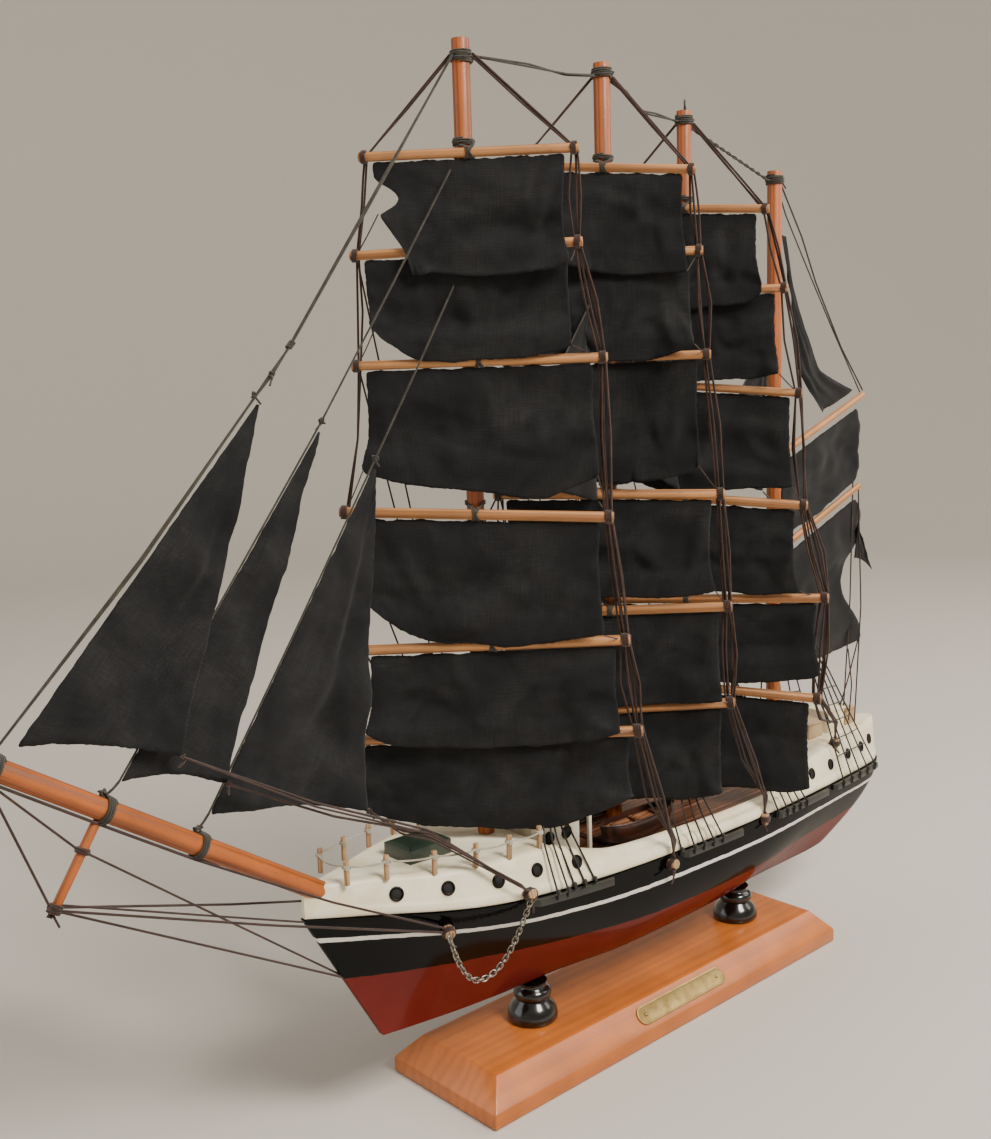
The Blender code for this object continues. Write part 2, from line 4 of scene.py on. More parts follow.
import bmesh
import bpy
import numpy as np
from mathutils import Matrix, Vector, noise

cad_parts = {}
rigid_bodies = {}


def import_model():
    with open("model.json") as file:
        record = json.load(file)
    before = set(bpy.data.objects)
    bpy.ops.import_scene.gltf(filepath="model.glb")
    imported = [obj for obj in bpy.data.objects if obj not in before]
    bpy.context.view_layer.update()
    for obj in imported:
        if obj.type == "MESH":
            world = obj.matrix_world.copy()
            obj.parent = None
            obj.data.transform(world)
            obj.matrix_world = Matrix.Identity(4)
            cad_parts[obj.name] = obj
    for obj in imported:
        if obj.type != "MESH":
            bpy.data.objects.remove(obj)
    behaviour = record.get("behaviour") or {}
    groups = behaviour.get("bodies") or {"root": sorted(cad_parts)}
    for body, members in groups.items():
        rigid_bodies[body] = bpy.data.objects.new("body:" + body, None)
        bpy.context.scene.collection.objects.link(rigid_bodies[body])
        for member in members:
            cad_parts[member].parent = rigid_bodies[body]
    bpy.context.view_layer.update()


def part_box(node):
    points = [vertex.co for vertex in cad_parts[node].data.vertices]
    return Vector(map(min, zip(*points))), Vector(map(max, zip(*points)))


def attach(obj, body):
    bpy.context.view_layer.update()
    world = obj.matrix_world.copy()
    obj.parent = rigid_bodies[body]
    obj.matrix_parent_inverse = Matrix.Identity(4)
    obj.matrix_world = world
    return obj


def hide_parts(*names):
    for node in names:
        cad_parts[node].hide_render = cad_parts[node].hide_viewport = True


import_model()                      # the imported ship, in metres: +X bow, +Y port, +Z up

mm = 0.001                             # every size below is in millimetres



def readCurve(table, x):               # a smooth line through the table's points, without overshoot
    if x <= table[0][0]:
        return table[0][1]
    for i in range(len(table) - 1):
        x0, y0 = table[i]
        x1, y1 = table[i + 1]
        if x <= x1:
            slope = (y1 - y0) / (x1 - x0)
            before = (y0 - table[i - 1][1]) / (x0 - table[i - 1][0]) if i > 0 else slope
            after = (table[i + 2][1] - y1) / (table[i + 2][0] - x1) if i < len(table) - 2 else slope
            m0 = 0.0 if before * slope <= 0 else 2 * before * slope / (before + slope)
            m1 = 0.0 if after * slope <= 0 else 2 * after * slope / (after + slope)
            h = x1 - x0
            t = (x - x0) / h
            return ((2 * t ** 3 - 3 * t ** 2 + 1) * y0 + (t ** 3 - 2 * t ** 2 + t) * h * m0
                    + (3 * t ** 2 - 2 * t ** 3) * y1 + (t ** 3 - t ** 2) * h * m1)
    return table[-1][1]


def pick(thing):                       # selects one object alone and makes it active
    bpy.ops.object.select_all(action="DESELECT")
    thing.select_set(True)
    bpy.context.view_layer.objects.active = thing


def modify(thing, kind, **settings):   # adds a modifier and applies it
    pick(thing)
    modifier = thing.modifiers.new(kind.lower(), kind)
    for name, value in settings.items():
        setattr(modifier, name, value)
    bpy.ops.object.modifier_apply(modifier=modifier.name)


def editing(thing, faces=None, edges=None):    # enters edit mode with only the faces or edges that a test accepts
    pick(thing)
    bpy.ops.object.mode_set(mode="EDIT")
    bpy.ops.mesh.select_mode(type="FACE" if faces else "EDGE")
    bpy.ops.mesh.select_all(action="DESELECT")
    shape = bmesh.from_edit_mesh(thing.data)
    for part in (shape.faces if faces else shape.edges):
        if (faces or edges)(part):
            part.select_set(True)
    bmesh.update_edit_mesh(thing.data)


def editDone():
    bpy.ops.object.mode_set(mode="OBJECT")


def joinAll(things):
    pick(things[0])
    for thing in things:
        thing.select_set(True)
    bpy.ops.object.join()
    return bpy.context.object


def copyTo(thing, matrix):             # a copy with its own mesh, its place put into the mesh
    twin = thing.copy()
    twin.data = thing.data.copy()
    bpy.context.collection.objects.link(twin)
    twin.data.transform(matrix)
    return twin


def markGrain(thing, along=(1, 0, 0), centre=(0, 0, 0), seed=0):
    # stores each point's place along and across the wood's fibres, in millimetres
    along = Vector(along).normalized()
    turn = along.to_track_quat("X", "Z").to_matrix().transposed()
    shift = Vector((71.0 * seed, 13.0 * seed, 29.0 * seed))
    grain = thing.data.attributes.new("grain", "FLOAT_VECTOR", "POINT")
    values = [turn @ (v.co / mm - Vector(centre)) + shift for v in thing.data.vertices]
    grain.data.foreach_set("vector", np.array(values, np.float32).ravel())


def finishPiece(thing, name, material, stands=(), smooth=35, body="ship"):
    pick(thing)
    bpy.ops.object.transform_apply(location=True, rotation=True, scale=True)
    if smooth:
        bpy.ops.object.shade_smooth_by_angle(angle=radians(smooth))
    thing.name = name
    thing.data.name = name
    thing.data.materials.clear()
    thing.data.materials.append(material)
    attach(thing, body)
    if stands:
        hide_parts(*stands)
    return thing



def coil(centre, axis, radius, height, turns, start=0.0):   # points of a thread wound round a spar
    axis = Vector(axis).normalized()
    side = axis.orthogonal().normalized()
    other = axis.cross(side)
    count = max(6, round(turns * 12))
    points = []
    for i in range(count + 1):
        angle = start + tau * turns * i / count
        lift = (i / count - 0.5) * height
        points.append(Vector(centre) + side * (radius * cos(angle)) + other * (radius * sin(angle)) + axis * lift)
    return points


def smoothed(points, step, reach):     # a curve through the points; reach is how far a bend spreads along it
    points = [Vector(p) for p in points]
    ends = [points[0] * 2 - points[1]] + points + [points[-1] * 2 - points[-2]]
    full = []
    for a, b, c, d in zip(ends, ends[1:], ends[2:], ends[3:]):
        size = (c - b).length
        out = (c - a).normalized() * min(size, reach)
        come = (d - b).normalized() * min(size, reach)
        count = max(1, round(size / step))
        for i in range(count):
            t = i / count
            full.append((2 * t ** 3 - 3 * t * t + 1) * b + (t ** 3 - 2 * t * t + t) * out
                        + (3 * t * t - 2 * t ** 3) * c + (t ** 3 - t * t) * come)
    return full + [points[-1]]


def strand(name, routes, sides=6, reach=5.0):
    # one mesh of round threads; each route is its points and its radius; the UV map "lay" holds
    # millimetres along and turns around, for the twist
    verts, faces, lay = [], [], []
    for points, radius in routes:
        line = smoothed(points, max(3 * radius, 1.2), reach)
        side = None
        first = len(verts)
        run = 0.0
        along = []
        for i, place in enumerate(line):
            way = (line[min(i + 1, len(line) - 1)] - line[max(i - 1, 0)]).normalized()
            side = way.orthogonal().normalized() if side is None else (side - side.dot(way) * way).normalized()
            up = way.cross(side)
            run += (place - line[i - 1]).length if i else 0.0
            along.append(run)
            for j in range(sides):
                verts.append((place + radius * (cos(tau * j / sides) * side + sin(tau * j / sides) * up)) * mm)
        for i in range(len(line) - 1):
            for j in range(sides):
                a = first + i * sides
                k = (j + 1) % sides
                faces.append((a + j, a + k, a + sides + k, a + sides + j))
                lay += [(along[i], j / sides), (along[i], (j + 1) / sides), (along[i + 1], (j + 1) / sides),
                        (along[i + 1], j / sides)]
        last = first + (len(line) - 1) * sides
        for cap, place in (([first + j for j in reversed(range(sides))], 0.0), ([last + j for j in range(sides)], run)):
            faces.append(tuple(cap))
            lay += [(place, 0.0)] * sides
    mesh = bpy.data.meshes.new(name)
    mesh.from_pydata(verts, [], faces)
    mesh.uv_layers.new(name="lay").data.foreach_set("uv", np.array(lay, np.float32).ravel())
    thing = bpy.data.objects.new(name, mesh)
    bpy.context.collection.objects.link(thing)
    return thing


def linear(code):                      # an sRGB hex colour as linear RGBA
    parts = [int(code[i:i + 2], 16) / 255 for i in (1, 3, 5)]
    return (*[c / 12.92 if c <= 0.04045 else ((c + 0.055) / 1.055) ** 2.4 for c in parts], 1.0)


def addNode(tree, kind, inputs=None, **settings):
    node = tree.nodes.new("ShaderNode" + kind)
    for name, value in settings.items():
        setattr(node, name, value)
    for name, value in (inputs or {}).items():
        if isinstance(value, bpy.types.NodeSocket):
            tree.links.new(value, node.inputs[name])
        else:
            node.inputs[name].default_value = value
    return node


def newMaterial(name, color, roughness, **sockets):
    material = bpy.data.materials.new(name)
    material.use_nodes = True
    tree = material.node_tree
    shader = tree.nodes["Principled BSDF"]
    shader.inputs["Base Color"].default_value = linear(color)
    shader.inputs["Roughness"].default_value = roughness
    for socket, value in sockets.items():
        shader.inputs[socket.replace("_", " ")].default_value = value
    material.diffuse_color = linear(color)
    return material, tree, shader


def woodMaterial(name, pale, dark, roughness, figure, coat, streak=0.5):
    # dowel and board stock: long fibres, darker year rings and short pores, under or without varnish
    material, tree, shader = newMaterial(name, pale, roughness, Coat_Weight=coat, Coat_Roughness=0.12)
    place = addNode(tree, "Attribute", attribute_name="grain").outputs["Vector"]
    long = addNode(tree, "Mapping", {0: place, "Scale": (1 / 90, 1 / streak, 1 / streak)})      # fibres
    fibres = addNode(tree, "TexNoise", {"Vector": long.outputs[0], "Scale": 1.0, "Detail": 5.0})
    wide = addNode(tree, "Mapping", {0: place, "Scale": (1 / 160, 1 / figure, 1 / figure)})
    swirl = addNode(tree, "TexNoise", {"Vector": wide.outputs[0], "Scale": 0.7, "Detail": 2.0})
    bend = addNode(tree, "VectorMath", {0: wide.outputs[0], 1: swirl.outputs["Color"]}, operation="ADD")
    rings = addNode(tree, "TexWave", {"Vector": bend.outputs[0], "Scale": 0.45, "Distortion": 1.6,
                                      "Detail": 2.0}, wave_type="BANDS", bands_direction="Y")
    short = addNode(tree, "Mapping", {0: place, "Scale": (1 / 5, 1 / 0.35, 1 / 0.35)})          # pores
    pores = addNode(tree, "TexNoise", {"Vector": short.outputs[0], "Scale": 1.0, "Detail": 1.0})
    pits = addNode(tree, "MapRange", {0: pores.outputs[0], 1: 0.62, 2: 0.78})
    share = addNode(tree, "Math", {0: rings.outputs[1], 1: fibres.outputs[0]}, operation="MULTIPLY")
    steps = addNode(tree, "MapRange", {0: share.outputs[0], 1: 0.12, 2: 0.55})
    tone = addNode(tree, "Mix", {0: steps.outputs[0], 6: linear(pale), 7: linear(dark)}, data_type="RGBA")
    pitted = addNode(tree, "Mix", {0: pits.outputs[0], 6: tone.outputs[2], 7: linear(dark)}, data_type="RGBA")
    patch = addNode(tree, "TexNoise", {"Vector": place, "Scale": 1 / 24, "Detail": 3.0})       # uneven stain
    light = addNode(tree, "MapRange", {0: patch.outputs[0], 1: 0.3, 2: 0.7, 3: 0.82, 4: 1.12})
    final = addNode(tree, "HueSaturation", {"Color": pitted.outputs[2], "Value": light.outputs[0]})
    tree.links.new(final.outputs[0], shader.inputs["Base Color"])
    rough = addNode(tree, "MapRange", {0: fibres.outputs[0], 3: roughness - 0.06, 4: roughness + 0.1})
    tree.links.new(rough.outputs[0], shader.inputs["Roughness"])
    bump = addNode(tree, "Bump", {"Height": share.outputs[0], "Strength": 0.22, "Distance": 0.1 * mm})
    tree.links.new(bump.outputs[0], shader.inputs["Normal"])
    return material


def paintMaterial(name, color, worn, roughness, coat=0.0, lump=3.0, depth=0.12, patchSize=14.0):
    # brushed paint on wood: faint brush lumps, and slightly yellowed or dulled patches
    material, tree, shader = newMaterial(name, color, roughness, Coat_Weight=coat, Coat_Roughness=0.06)
    place = addNode(tree, "TexCoord").outputs["Object"]
    patch = addNode(tree, "TexNoise", {"Vector": place, "Scale": 1 / (patchSize * mm), "Detail": 4.0})
    share = addNode(tree, "MapRange", {0: patch.outputs[0], 1: 0.42, 2: 0.72})
    tone = addNode(tree, "Mix", {0: share.outputs[0], 6: linear(color), 7: linear(worn)}, data_type="RGBA")
    tree.links.new(tone.outputs[2], shader.inputs["Base Color"])
    rough = addNode(tree, "MapRange", {0: patch.outputs[0], 3: roughness - 0.04, 4: roughness + 0.14})
    tree.links.new(rough.outputs[0], shader.inputs["Roughness"])
    brush = addNode(tree, "Mapping", {0: place, "Scale": (0.25 / (lump * mm), 1 / (lump * mm), 1 / (lump * mm))})
    lumps = addNode(tree, "TexNoise", {"Vector": brush.outputs[0], "Scale": 1.0, "Detail": 3.0})
    bump = addNode(tree, "Bump", {"Height": lumps.outputs[0], "Strength": 0.5, "Distance": depth * mm})
    tree.links.new(bump.outputs[0], shader.inputs["Normal"])
    return material


def hullMaterial():
    # enamel brushed on a carved hull: black topsides, oxide red bottom and one white line, each with
    # a hand-painted edge that wanders a little
    material, tree, shader = newMaterial("brushedHullEnamel", "#0b0c0e", 0.36, Coat_Weight=0.3,
                                         Coat_Roughness=0.1)
    shader.inputs["Specular IOR Level"].default_value = 0.0
    paint = addNode(tree, "SeparateXYZ", {0: addNode(tree, "Attribute", attribute_name="paint").outputs["Vector"]})
    place = addNode(tree, "TexCoord").outputs["Object"]
    wander = addNode(tree, "TexNoise", {"Vector": place, "Scale": 1 / (7 * mm), "Detail": 3.0})
    offset = addNode(tree, "MapRange", {0: wander.outputs[0], 1: 0.25, 2: 0.75, 3: -0.28, 4: 0.28})
    low = addNode(tree, "Math", {0: paint.outputs[0], 1: offset.outputs[0]}, operation="ADD")
    isBlack = addNode(tree, "MapRange", {0: low.outputs[0], 1: -0.12, 2: 0.12})
    high = addNode(tree, "Math", {0: paint.outputs[1], 1: offset.outputs[0]}, operation="ADD")
    away = addNode(tree, "Math", {0: high.outputs[0]}, operation="ABSOLUTE")
    isWhite = addNode(tree, "MapRange", {0: away.outputs[0], 1: 1.12, 2: 0.95})
    patch = addNode(tree, "TexNoise", {"Vector": place, "Scale": 1 / (22 * mm), "Detail": 5.0})
    red = addNode(tree, "Mix", {0: patch.outputs[0], 6: linear("#591813"), 7: linear("#70261f")}, data_type="RGBA")
    black = addNode(tree, "Mix", {0: patch.outputs[0], 6: linear("#040405"), 7: linear("#08090a")},
                    data_type="RGBA")
    body = addNode(tree, "Mix", {0: isBlack.outputs[0], 6: red.outputs[2], 7: black.outputs[2]}, data_type="RGBA")
    full = addNode(tree, "Mix", {0: isWhite.outputs[0], 6: body.outputs[2], 7: linear("#dcdad3")},
                   data_type="RGBA")
    tree.links.new(full.outputs[2], shader.inputs["Base Color"])
    rough = addNode(tree, "MapRange", {0: patch.outputs[0], 3: 0.16, 4: 0.38})
    tree.links.new(rough.outputs[0], shader.inputs["Roughness"])
    brush = addNode(tree, "Mapping", {0: place, "Scale": (1 / (16 * mm), 1 / (3 * mm), 1 / (2.2 * mm))})
    lumps = addNode(tree, "TexNoise", {"Vector": brush.outputs[0], "Scale": 1.0, "Detail": 2.0})
    ridge = addNode(tree, "Math", {0: isWhite.outputs[0], 1: 0.35}, operation="MULTIPLY")       # paint thickness
    height = addNode(tree, "Math", {0: lumps.outputs[0], 1: ridge.outputs[0]}, operation="ADD")
    bump = addNode(tree, "Bump", {"Height": height.outputs[0], "Strength": 0.5, "Distance": 0.15 * mm})
    tree.links.new(bump.outputs[0], shader.inputs["Normal"])
    return material


def cottonMaterial():
    # thin plain-woven cotton, dyed black, with soft grey patches at random that are painted highlights;
    # the threads are drawn at 0.6 mm, about twice their real spacing, so that the weave shows
    material, tree, shader = newMaterial("dyedCottonSailcloth", "#202022", 0.92, Sheen_Weight=0.28,
                                         Sheen_Roughness=0.5)
    shader.inputs["Sheen Tint"].default_value = linear("#8a8a88")
    shader.inputs["Specular IOR Level"].default_value = 0.18
    place = addNode(tree, "UVMap", uv_map="cut").outputs[0]                # in millimetres on the flat cut
    warp = addNode(tree, "TexWave", {"Vector": place, "Scale": 1 / (2 * 0.6) * 0.62, "Distortion": 0.6,
                                     "Detail": 1.0, "Detail Scale": 2.0}, bands_direction="X")
    weft = addNode(tree, "TexWave", {"Vector": place, "Scale": 1 / (2 * 0.6) * 0.62, "Distortion": 0.6,
                                     "Detail": 1.0, "Detail Scale": 2.0}, bands_direction="Y")
    weave = addNode(tree, "Math", {0: warp.outputs[1], 1: weft.outputs[1]}, operation="ADD")
    slubX = addNode(tree, "Mapping", {0: place, "Scale": (1 / 9, 1 / 0.7, 1)})    # thick and thin threads
    slubY = addNode(tree, "Mapping", {0: place, "Scale": (1 / 0.7, 1 / 12, 1)})
    thickX = addNode(tree, "TexNoise", {"Vector": slubX.outputs[0], "Scale": 1.0, "Detail": 2.0})
    thickY = addNode(tree, "TexNoise", {"Vector": slubY.outputs[0], "Scale": 1.0, "Detail": 2.0})
    slubs = addNode(tree, "Math", {0: thickX.outputs[0], 1: thickY.outputs[0]}, operation="MULTIPLY")
    # painted highlights: random soft grey patches, times the thick and thin threads, lighten the black cloth
    highlightMottle = addNode(tree, "TexNoise", {"Vector": place, "Scale": 1 / 26, "Detail": 6.0, "Roughness": 0.62,
                                      "Distortion": 0.6})
    highlightShare = addNode(tree, "MapRange", {0: highlightMottle.outputs[0], 1: 0.38, 2: 0.85})
    streaky = addNode(tree, "MapRange", {0: slubs.outputs[0], 1: 0.16, 2: 0.4, 3: 0.35, 4: 0.9})
    share = addNode(tree, "Math", {0: highlightShare.outputs[0], 1: streaky.outputs[0]}, operation="MULTIPLY")
    tone = addNode(tree, "Mix", {0: share.outputs[0], 6: linear("#171719"), 7: linear("#363635")},
                   data_type="RGBA")
    tree.links.new(tone.outputs[2], shader.inputs["Base Color"])
    height = addNode(tree, "Math", {0: weave.outputs[0], 1: slubs.outputs[0]}, operation="ADD")
    bump = addNode(tree, "Bump", {"Height": height.outputs[0], "Strength": 0.6, "Distance": 0.12 * mm})
    tree.links.new(bump.outputs[0], shader.inputs["Normal"])
    return material


def threadMaterial(name, color, worn, pitch, sheen):
    # two-ply twisted cotton thread: slanting plies from the UV map, which holds millimetres along and
    # turns around, with painted shade darkening the grooves between the plies; fuzzy, so it has sheen and no gloss
    material, tree, shader = newMaterial(name, color, 0.85, Sheen_Weight=sheen, Sheen_Roughness=0.6)
    shader.inputs["Specular IOR Level"].default_value = 0.2
    place = addNode(tree, "SeparateXYZ", {0: addNode(tree, "UVMap", uv_map="lay").outputs[0]})
    along = addNode(tree, "Math", {0: place.outputs[0], 1: 1 / pitch}, operation="MULTIPLY")
    slant = addNode(tree, "Math", {0: along.outputs[0], 1: place.outputs[1]}, operation="ADD")
    turns = addNode(tree, "Math", {0: slant.outputs[0], 1: 2 * tau}, operation="MULTIPLY")
    plies = addNode(tree, "Math", {0: turns.outputs[0]}, operation="SINE")
    spots = addNode(tree, "TexNoise", {"Vector": addNode(tree, "TexCoord").outputs["Object"],
                                       "Scale": 1 / (5 * mm), "Detail": 5.0})
    share = addNode(tree, "MapRange", {0: spots.outputs[0], 1: 0.35, 2: 0.7})
    tone = addNode(tree, "Mix", {0: share.outputs[0], 6: linear(color), 7: linear(worn)}, data_type="RGBA")
    # painted shade: the colour is darkened in the grooves between the plies
    plyGrooveShade = addNode(tree, "MapRange", {0: plies.outputs[0], 1: -1.0, 2: 0.2, 3: 0.45, 4: 1.0})
    dark = addNode(tree, "HueSaturation", {"Color": tone.outputs[2], "Value": plyGrooveShade.outputs[0]})
    tree.links.new(dark.outputs[0], shader.inputs["Base Color"])
    bump = addNode(tree, "Bump", {"Height": plies.outputs[0], "Strength": 0.8, "Distance": 0.15 * mm})
    tree.links.new(bump.outputs[0], shader.inputs["Normal"])
    return material


def metalMaterial(name, color, worn, roughness, grit):
    # stamped or drawn metal with tarnish in patches
    material, tree, shader = newMaterial(name, color, roughness, Metallic=1.0)
    place = addNode(tree, "TexCoord").outputs["Object"]
    patch = addNode(tree, "TexNoise", {"Vector": place, "Scale": 1 / (grit * mm), "Detail": 6.0})
    share = addNode(tree, "MapRange", {0: patch.outputs[0], 1: 0.4, 2: 0.7})
    tone = addNode(tree, "Mix", {0: share.outputs[0], 6: linear(color), 7: linear(worn)}, data_type="RGBA")
    tree.links.new(tone.outputs[2], shader.inputs["Base Color"])
    rough = addNode(tree, "MapRange", {0: patch.outputs[0], 3: roughness - 0.08, 4: roughness + 0.2})
    tree.links.new(rough.outputs[0], shader.inputs["Roughness"])
    bump = addNode(tree, "Bump", {"Height": patch.outputs[0], "Strength": 0.25, "Distance": 0.012 * mm})
    tree.links.new(bump.outputs[0], shader.inputs["Normal"])
    return material


varnishedBoard = woodMaterial("varnishedPineBoard", "#bf6a29", "#b06127", 0.36, 9.0, 0.2, 0.9)
varnishedDowel = woodMaterial("orangeVarnishedDowel", "#a85820", "#7c3f16", 0.5, 3.0, 0.1)
rawDowel = woodMaterial("bareBirchDowel", "#bd8450", "#8c5a30", 0.55, 2.5, 0.05)
pegWood = woodMaterial("bareBeechPeg", "#b79570", "#7a5a3c", 0.7, 2.0, 0.0, 0.3)
boatWood = woodMaterial("stainedBoatWood", "#3c1c12", "#160a07", 0.3, 4.0, 0.5)
boatInside = woodMaterial("paleBoatWood", "#8a5a38", "#4c2c1a", 0.5, 3.0, 0.1)
deckBrown = woodMaterial("stainedDeckBoard", "#6c4026", "#3a2013", 0.45, 5.0, 0.2)
blackLacquer = paintMaterial("blackLacquer", "#060607", "#0b0b0c", 0.16, 0.55, 5.0, 0.06)
creamPaint = paintMaterial("creamOilPaint", "#efe5cb", "#e0d1ab", 0.46, 0.12, 2.4, 0.2)
housePaint = paintMaterial("whiteHousePaint", "#e9e2d0", "#cfc3a6", 0.5, 0.05, 1.6, 0.15)
tanPaint = paintMaterial("tanBoxPaint", "#b79f7c", "#94795a", 0.5, 0.05, 1.6, 0.15)
hatchPaint = paintMaterial("darkGreenPaint", "#1d2a20", "#2c3a2c", 0.4, 0.3, 2.0, 0.15)
channelPaint = paintMaterial("satinBlackPaint", "#141614", "#262924", 0.42, 0.2, 2.0, 0.15)
hullEnamel = hullMaterial()
sailCotton = cottonMaterial()
brownThread = threadMaterial("waxedBrownThread", "#30190f", "#4a2c1f", 1.5, 0.2)
greyThread = threadMaterial("waxedGreyThread", "#2c2820", "#4a4335", 1.5, 0.2)
shroudThread = threadMaterial("waxedBlackThread", "#15110e", "#2b241c", 1.4, 0.2)
railString = threadMaterial("whiteCottonString", "#cfc6ae", "#a99f86", 1.2, 0.4)
brass = metalMaterial("tarnishedBrass", "#ad9560", "#8c7646", 0.4, 6.0)
steel = metalMaterial("nickelPlatedSteel", "#a8a298", "#6a6458", 0.3, 1.0)
eyeletMetal = metalMaterial("blackenedEyelet", "#2e2b28", "#14130f", 0.34, 1.0)
# painted shade: near-black for the discs that stand for the dark holes of the eyelets
boreShadeBlack = paintMaterial("unlitBore", "#020202", "#050505", 0.7)
print("materials made")



studio = {"lens": 41.09, "place": (473.16, 422.49, 328.62), "yaw": 3.973, "pitch": 0.158, "roll": -0.031,
          "key": 40.0, "fill": 5.0, "back": 9.0, "sky": 0.6,
          "floor": 1.6, "sweep": 0.9, "wall": 0.8}


def makeStudio():
    s = studio
    flat = cos(s["pitch"])
    forward = Vector((cos(s["yaw"]) * flat, sin(s["yaw"]) * flat, -sin(s["pitch"])))
    right = forward.cross(Vector((0, 0, 1))).normalized()
    up = right.cross(forward)
    lean, turn = sin(s["roll"]), cos(s["roll"])
    right, up = turn * right + lean * up, turn * up - lean * right
    axes = Matrix((right, up, -forward)).transposed().to_4x4()
    camera = bpy.data.objects.new("camera", bpy.data.cameras.new("camera"))
    bpy.context.collection.objects.link(camera)
    camera.matrix_world = Matrix.Translation(Vector(s["place"]) * mm) @ axes
    camera.data.lens = s["lens"]
    camera.data.clip_start = 0.01
    bpy.context.scene.camera = camera

    bpy.ops.object.select_all(action="DESELECT")
    bpy.ops.mesh.primitive_circle_add(vertices=128, radius=s["floor"], fill_type="NGON", location=(0, 0, -0.0004))
    floor = bpy.context.object
    editing(floor, edges=lambda e: True)
    width, steps = s["floor"], 12
    for i in range(1, steps + 2):                                   # the rim sweeps up into a plain wall
        turn_ = min(i / steps, 1.0) * pi / 2
        wide = s["floor"] + s["sweep"] * sin(turn_)
        rise = s["sweep"] * (cos((i - 1) / steps * pi / 2) - cos(turn_)) if i <= steps else s["wall"]
        bpy.ops.mesh.extrude_region_move(TRANSFORM_OT_translate={"value": (0, 0, rise)})
        bpy.ops.transform.resize(value=(wide / width, wide / width, 1), center_override=(0, 0, 0))
        width = wide
    editDone()
    bpy.ops.object.shade_smooth()
    floor.name = "floor"
    material, tree, shader = newMaterial("paleFloor", "#cfc9c0", 0.6)
    floor.data.materials.append(material)

    for name, place, size, power, color in (
            ("key", (0.0, 1.2, 1.4), 0.6, s["key"], (1.0, 0.95, 0.88)),
            ("fill", (1.3, -0.7, 0.7), 1.0, s["fill"], (0.92, 0.96, 1.0)),
            ("back", (-1.0, 0.5, 1.0), 0.9, s["back"], (1.0, 0.96, 0.9))):
        data = bpy.data.lights.new(name, "AREA")
        data.size = size
        data.energy = power
        data.color = color
        lamp = bpy.data.objects.new(name, data)
        bpy.context.collection.objects.link(lamp)
        lamp.location = place
        lamp.rotation_euler = (Vector((0, 0, 0.2)) - Vector(place)).to_track_quat("-Z", "Y").to_euler()
    world = bpy.data.worlds.new("world")
    world.use_nodes = True
    world.node_tree.nodes["Background"].inputs[0].default_value = linear("#e6dfd4")
    world.node_tree.nodes["Background"].inputs[1].default_value = s["sky"]
    bpy.context.scene.world = world


makeStudio()
print("studio made")



lines = {
    "sheer": [(-222, 82.5), (-198, 84.0), (-111, 89.8), (-55, 92.0), (20, 94.2), (51, 95.5), (111, 99.7),
              (162, 105.3), (199.3, 108.7)],
    "keel": [(-165, 38.4), (-150, 37.6), (-90, 37.2), (85, 38.2), (110, 39.5), (140, 42.2), (162.6, 44.7)],
    "beam": [(-222, 2.5), (-219, 6.5), (-213, 11.0), (-204, 15.0), (-190, 18.5), (-160, 24.5), (-130, 30.0),
             (-100, 34.2), (-60, 38.0), (-20, 39.8), (20, 40.0), (60, 39.6), (90, 38.4), (113, 36.6),
             (130, 33.8), (148, 28.3), (162, 21.8), (175, 15.0), (187, 8.6), (195, 4.0), (199.3, 1.5)],
    "fullness": [(-222, 1.3), (-130, 1.5), (-60, 2.1), (20, 2.2), (75, 1.6), (140, 1.05), (199.3, 1.0)],
    "waterline": [(-222, 56.5), (-100, 60.5), (0, 64.0), (100, 69.5), (162, 75.0), (199.3, 79.5)],
    "stripe": [(-222, 11.5), (100, 12.0), (199.3, 10.0)],              # its depth below the sheer
    "deck": [(-222, 107.0), (-106, 107.8), (-103.5, 99.5), (-60, 100.2), (20, 103.6), (50, 105.8),
             (74, 112.0), (91, 117.4), (113, 118.2), (148, 119.4), (183, 121.6), (199.3, 121.0)],
    "floor": [(-98, 96.9), (42, 97.0), (54, 97.9), (90, 100.7)],
    "stemFoot": 162.6, "stemHead": 199.3, "heel": -165.0, "taffrail": -222.0, "keelHalf": 1.5,
    "wellAft": -98.0, "wellFore": 90.0, "wellMargin": 7.5,
}


def sheerAt(x):
    return readCurve(lines["sheer"], x)


def beamAt(x):
    return readCurve(lines["beam"], x)


def deckAt(x):
    return readCurve(lines["deck"], x)


def stationX(s, t):                    # place along the ship of station s (0 stern, 1 stem) at level t
    stem = lines["stemFoot"] + (lines["stemHead"] - lines["stemFoot"]) * t
    stern = lines["heel"] + (lines["taffrail"] - lines["heel"]) * sin(t * pi / 2) ** 0.8
    return stern + (stem - stern) * s


def sidePoint(s, t):                   # the port side, from the keel at t = 0 to the sheer at t = 1
    topX = stationX(s, 1)
    low = readCurve(lines["keel"], stationX(s, 0))
    full = readCurve(lines["fullness"], topX)
    swell = (1 - (1 - t) ** full) ** (1 / (1 + 0.5 * (full - 1)))
    y = lines["keelHalf"] + (beamAt(topX) - lines["keelHalf"]) * swell
    return Vector((stationX(s, t), y, low + (sheerAt(topX) - low) * t))


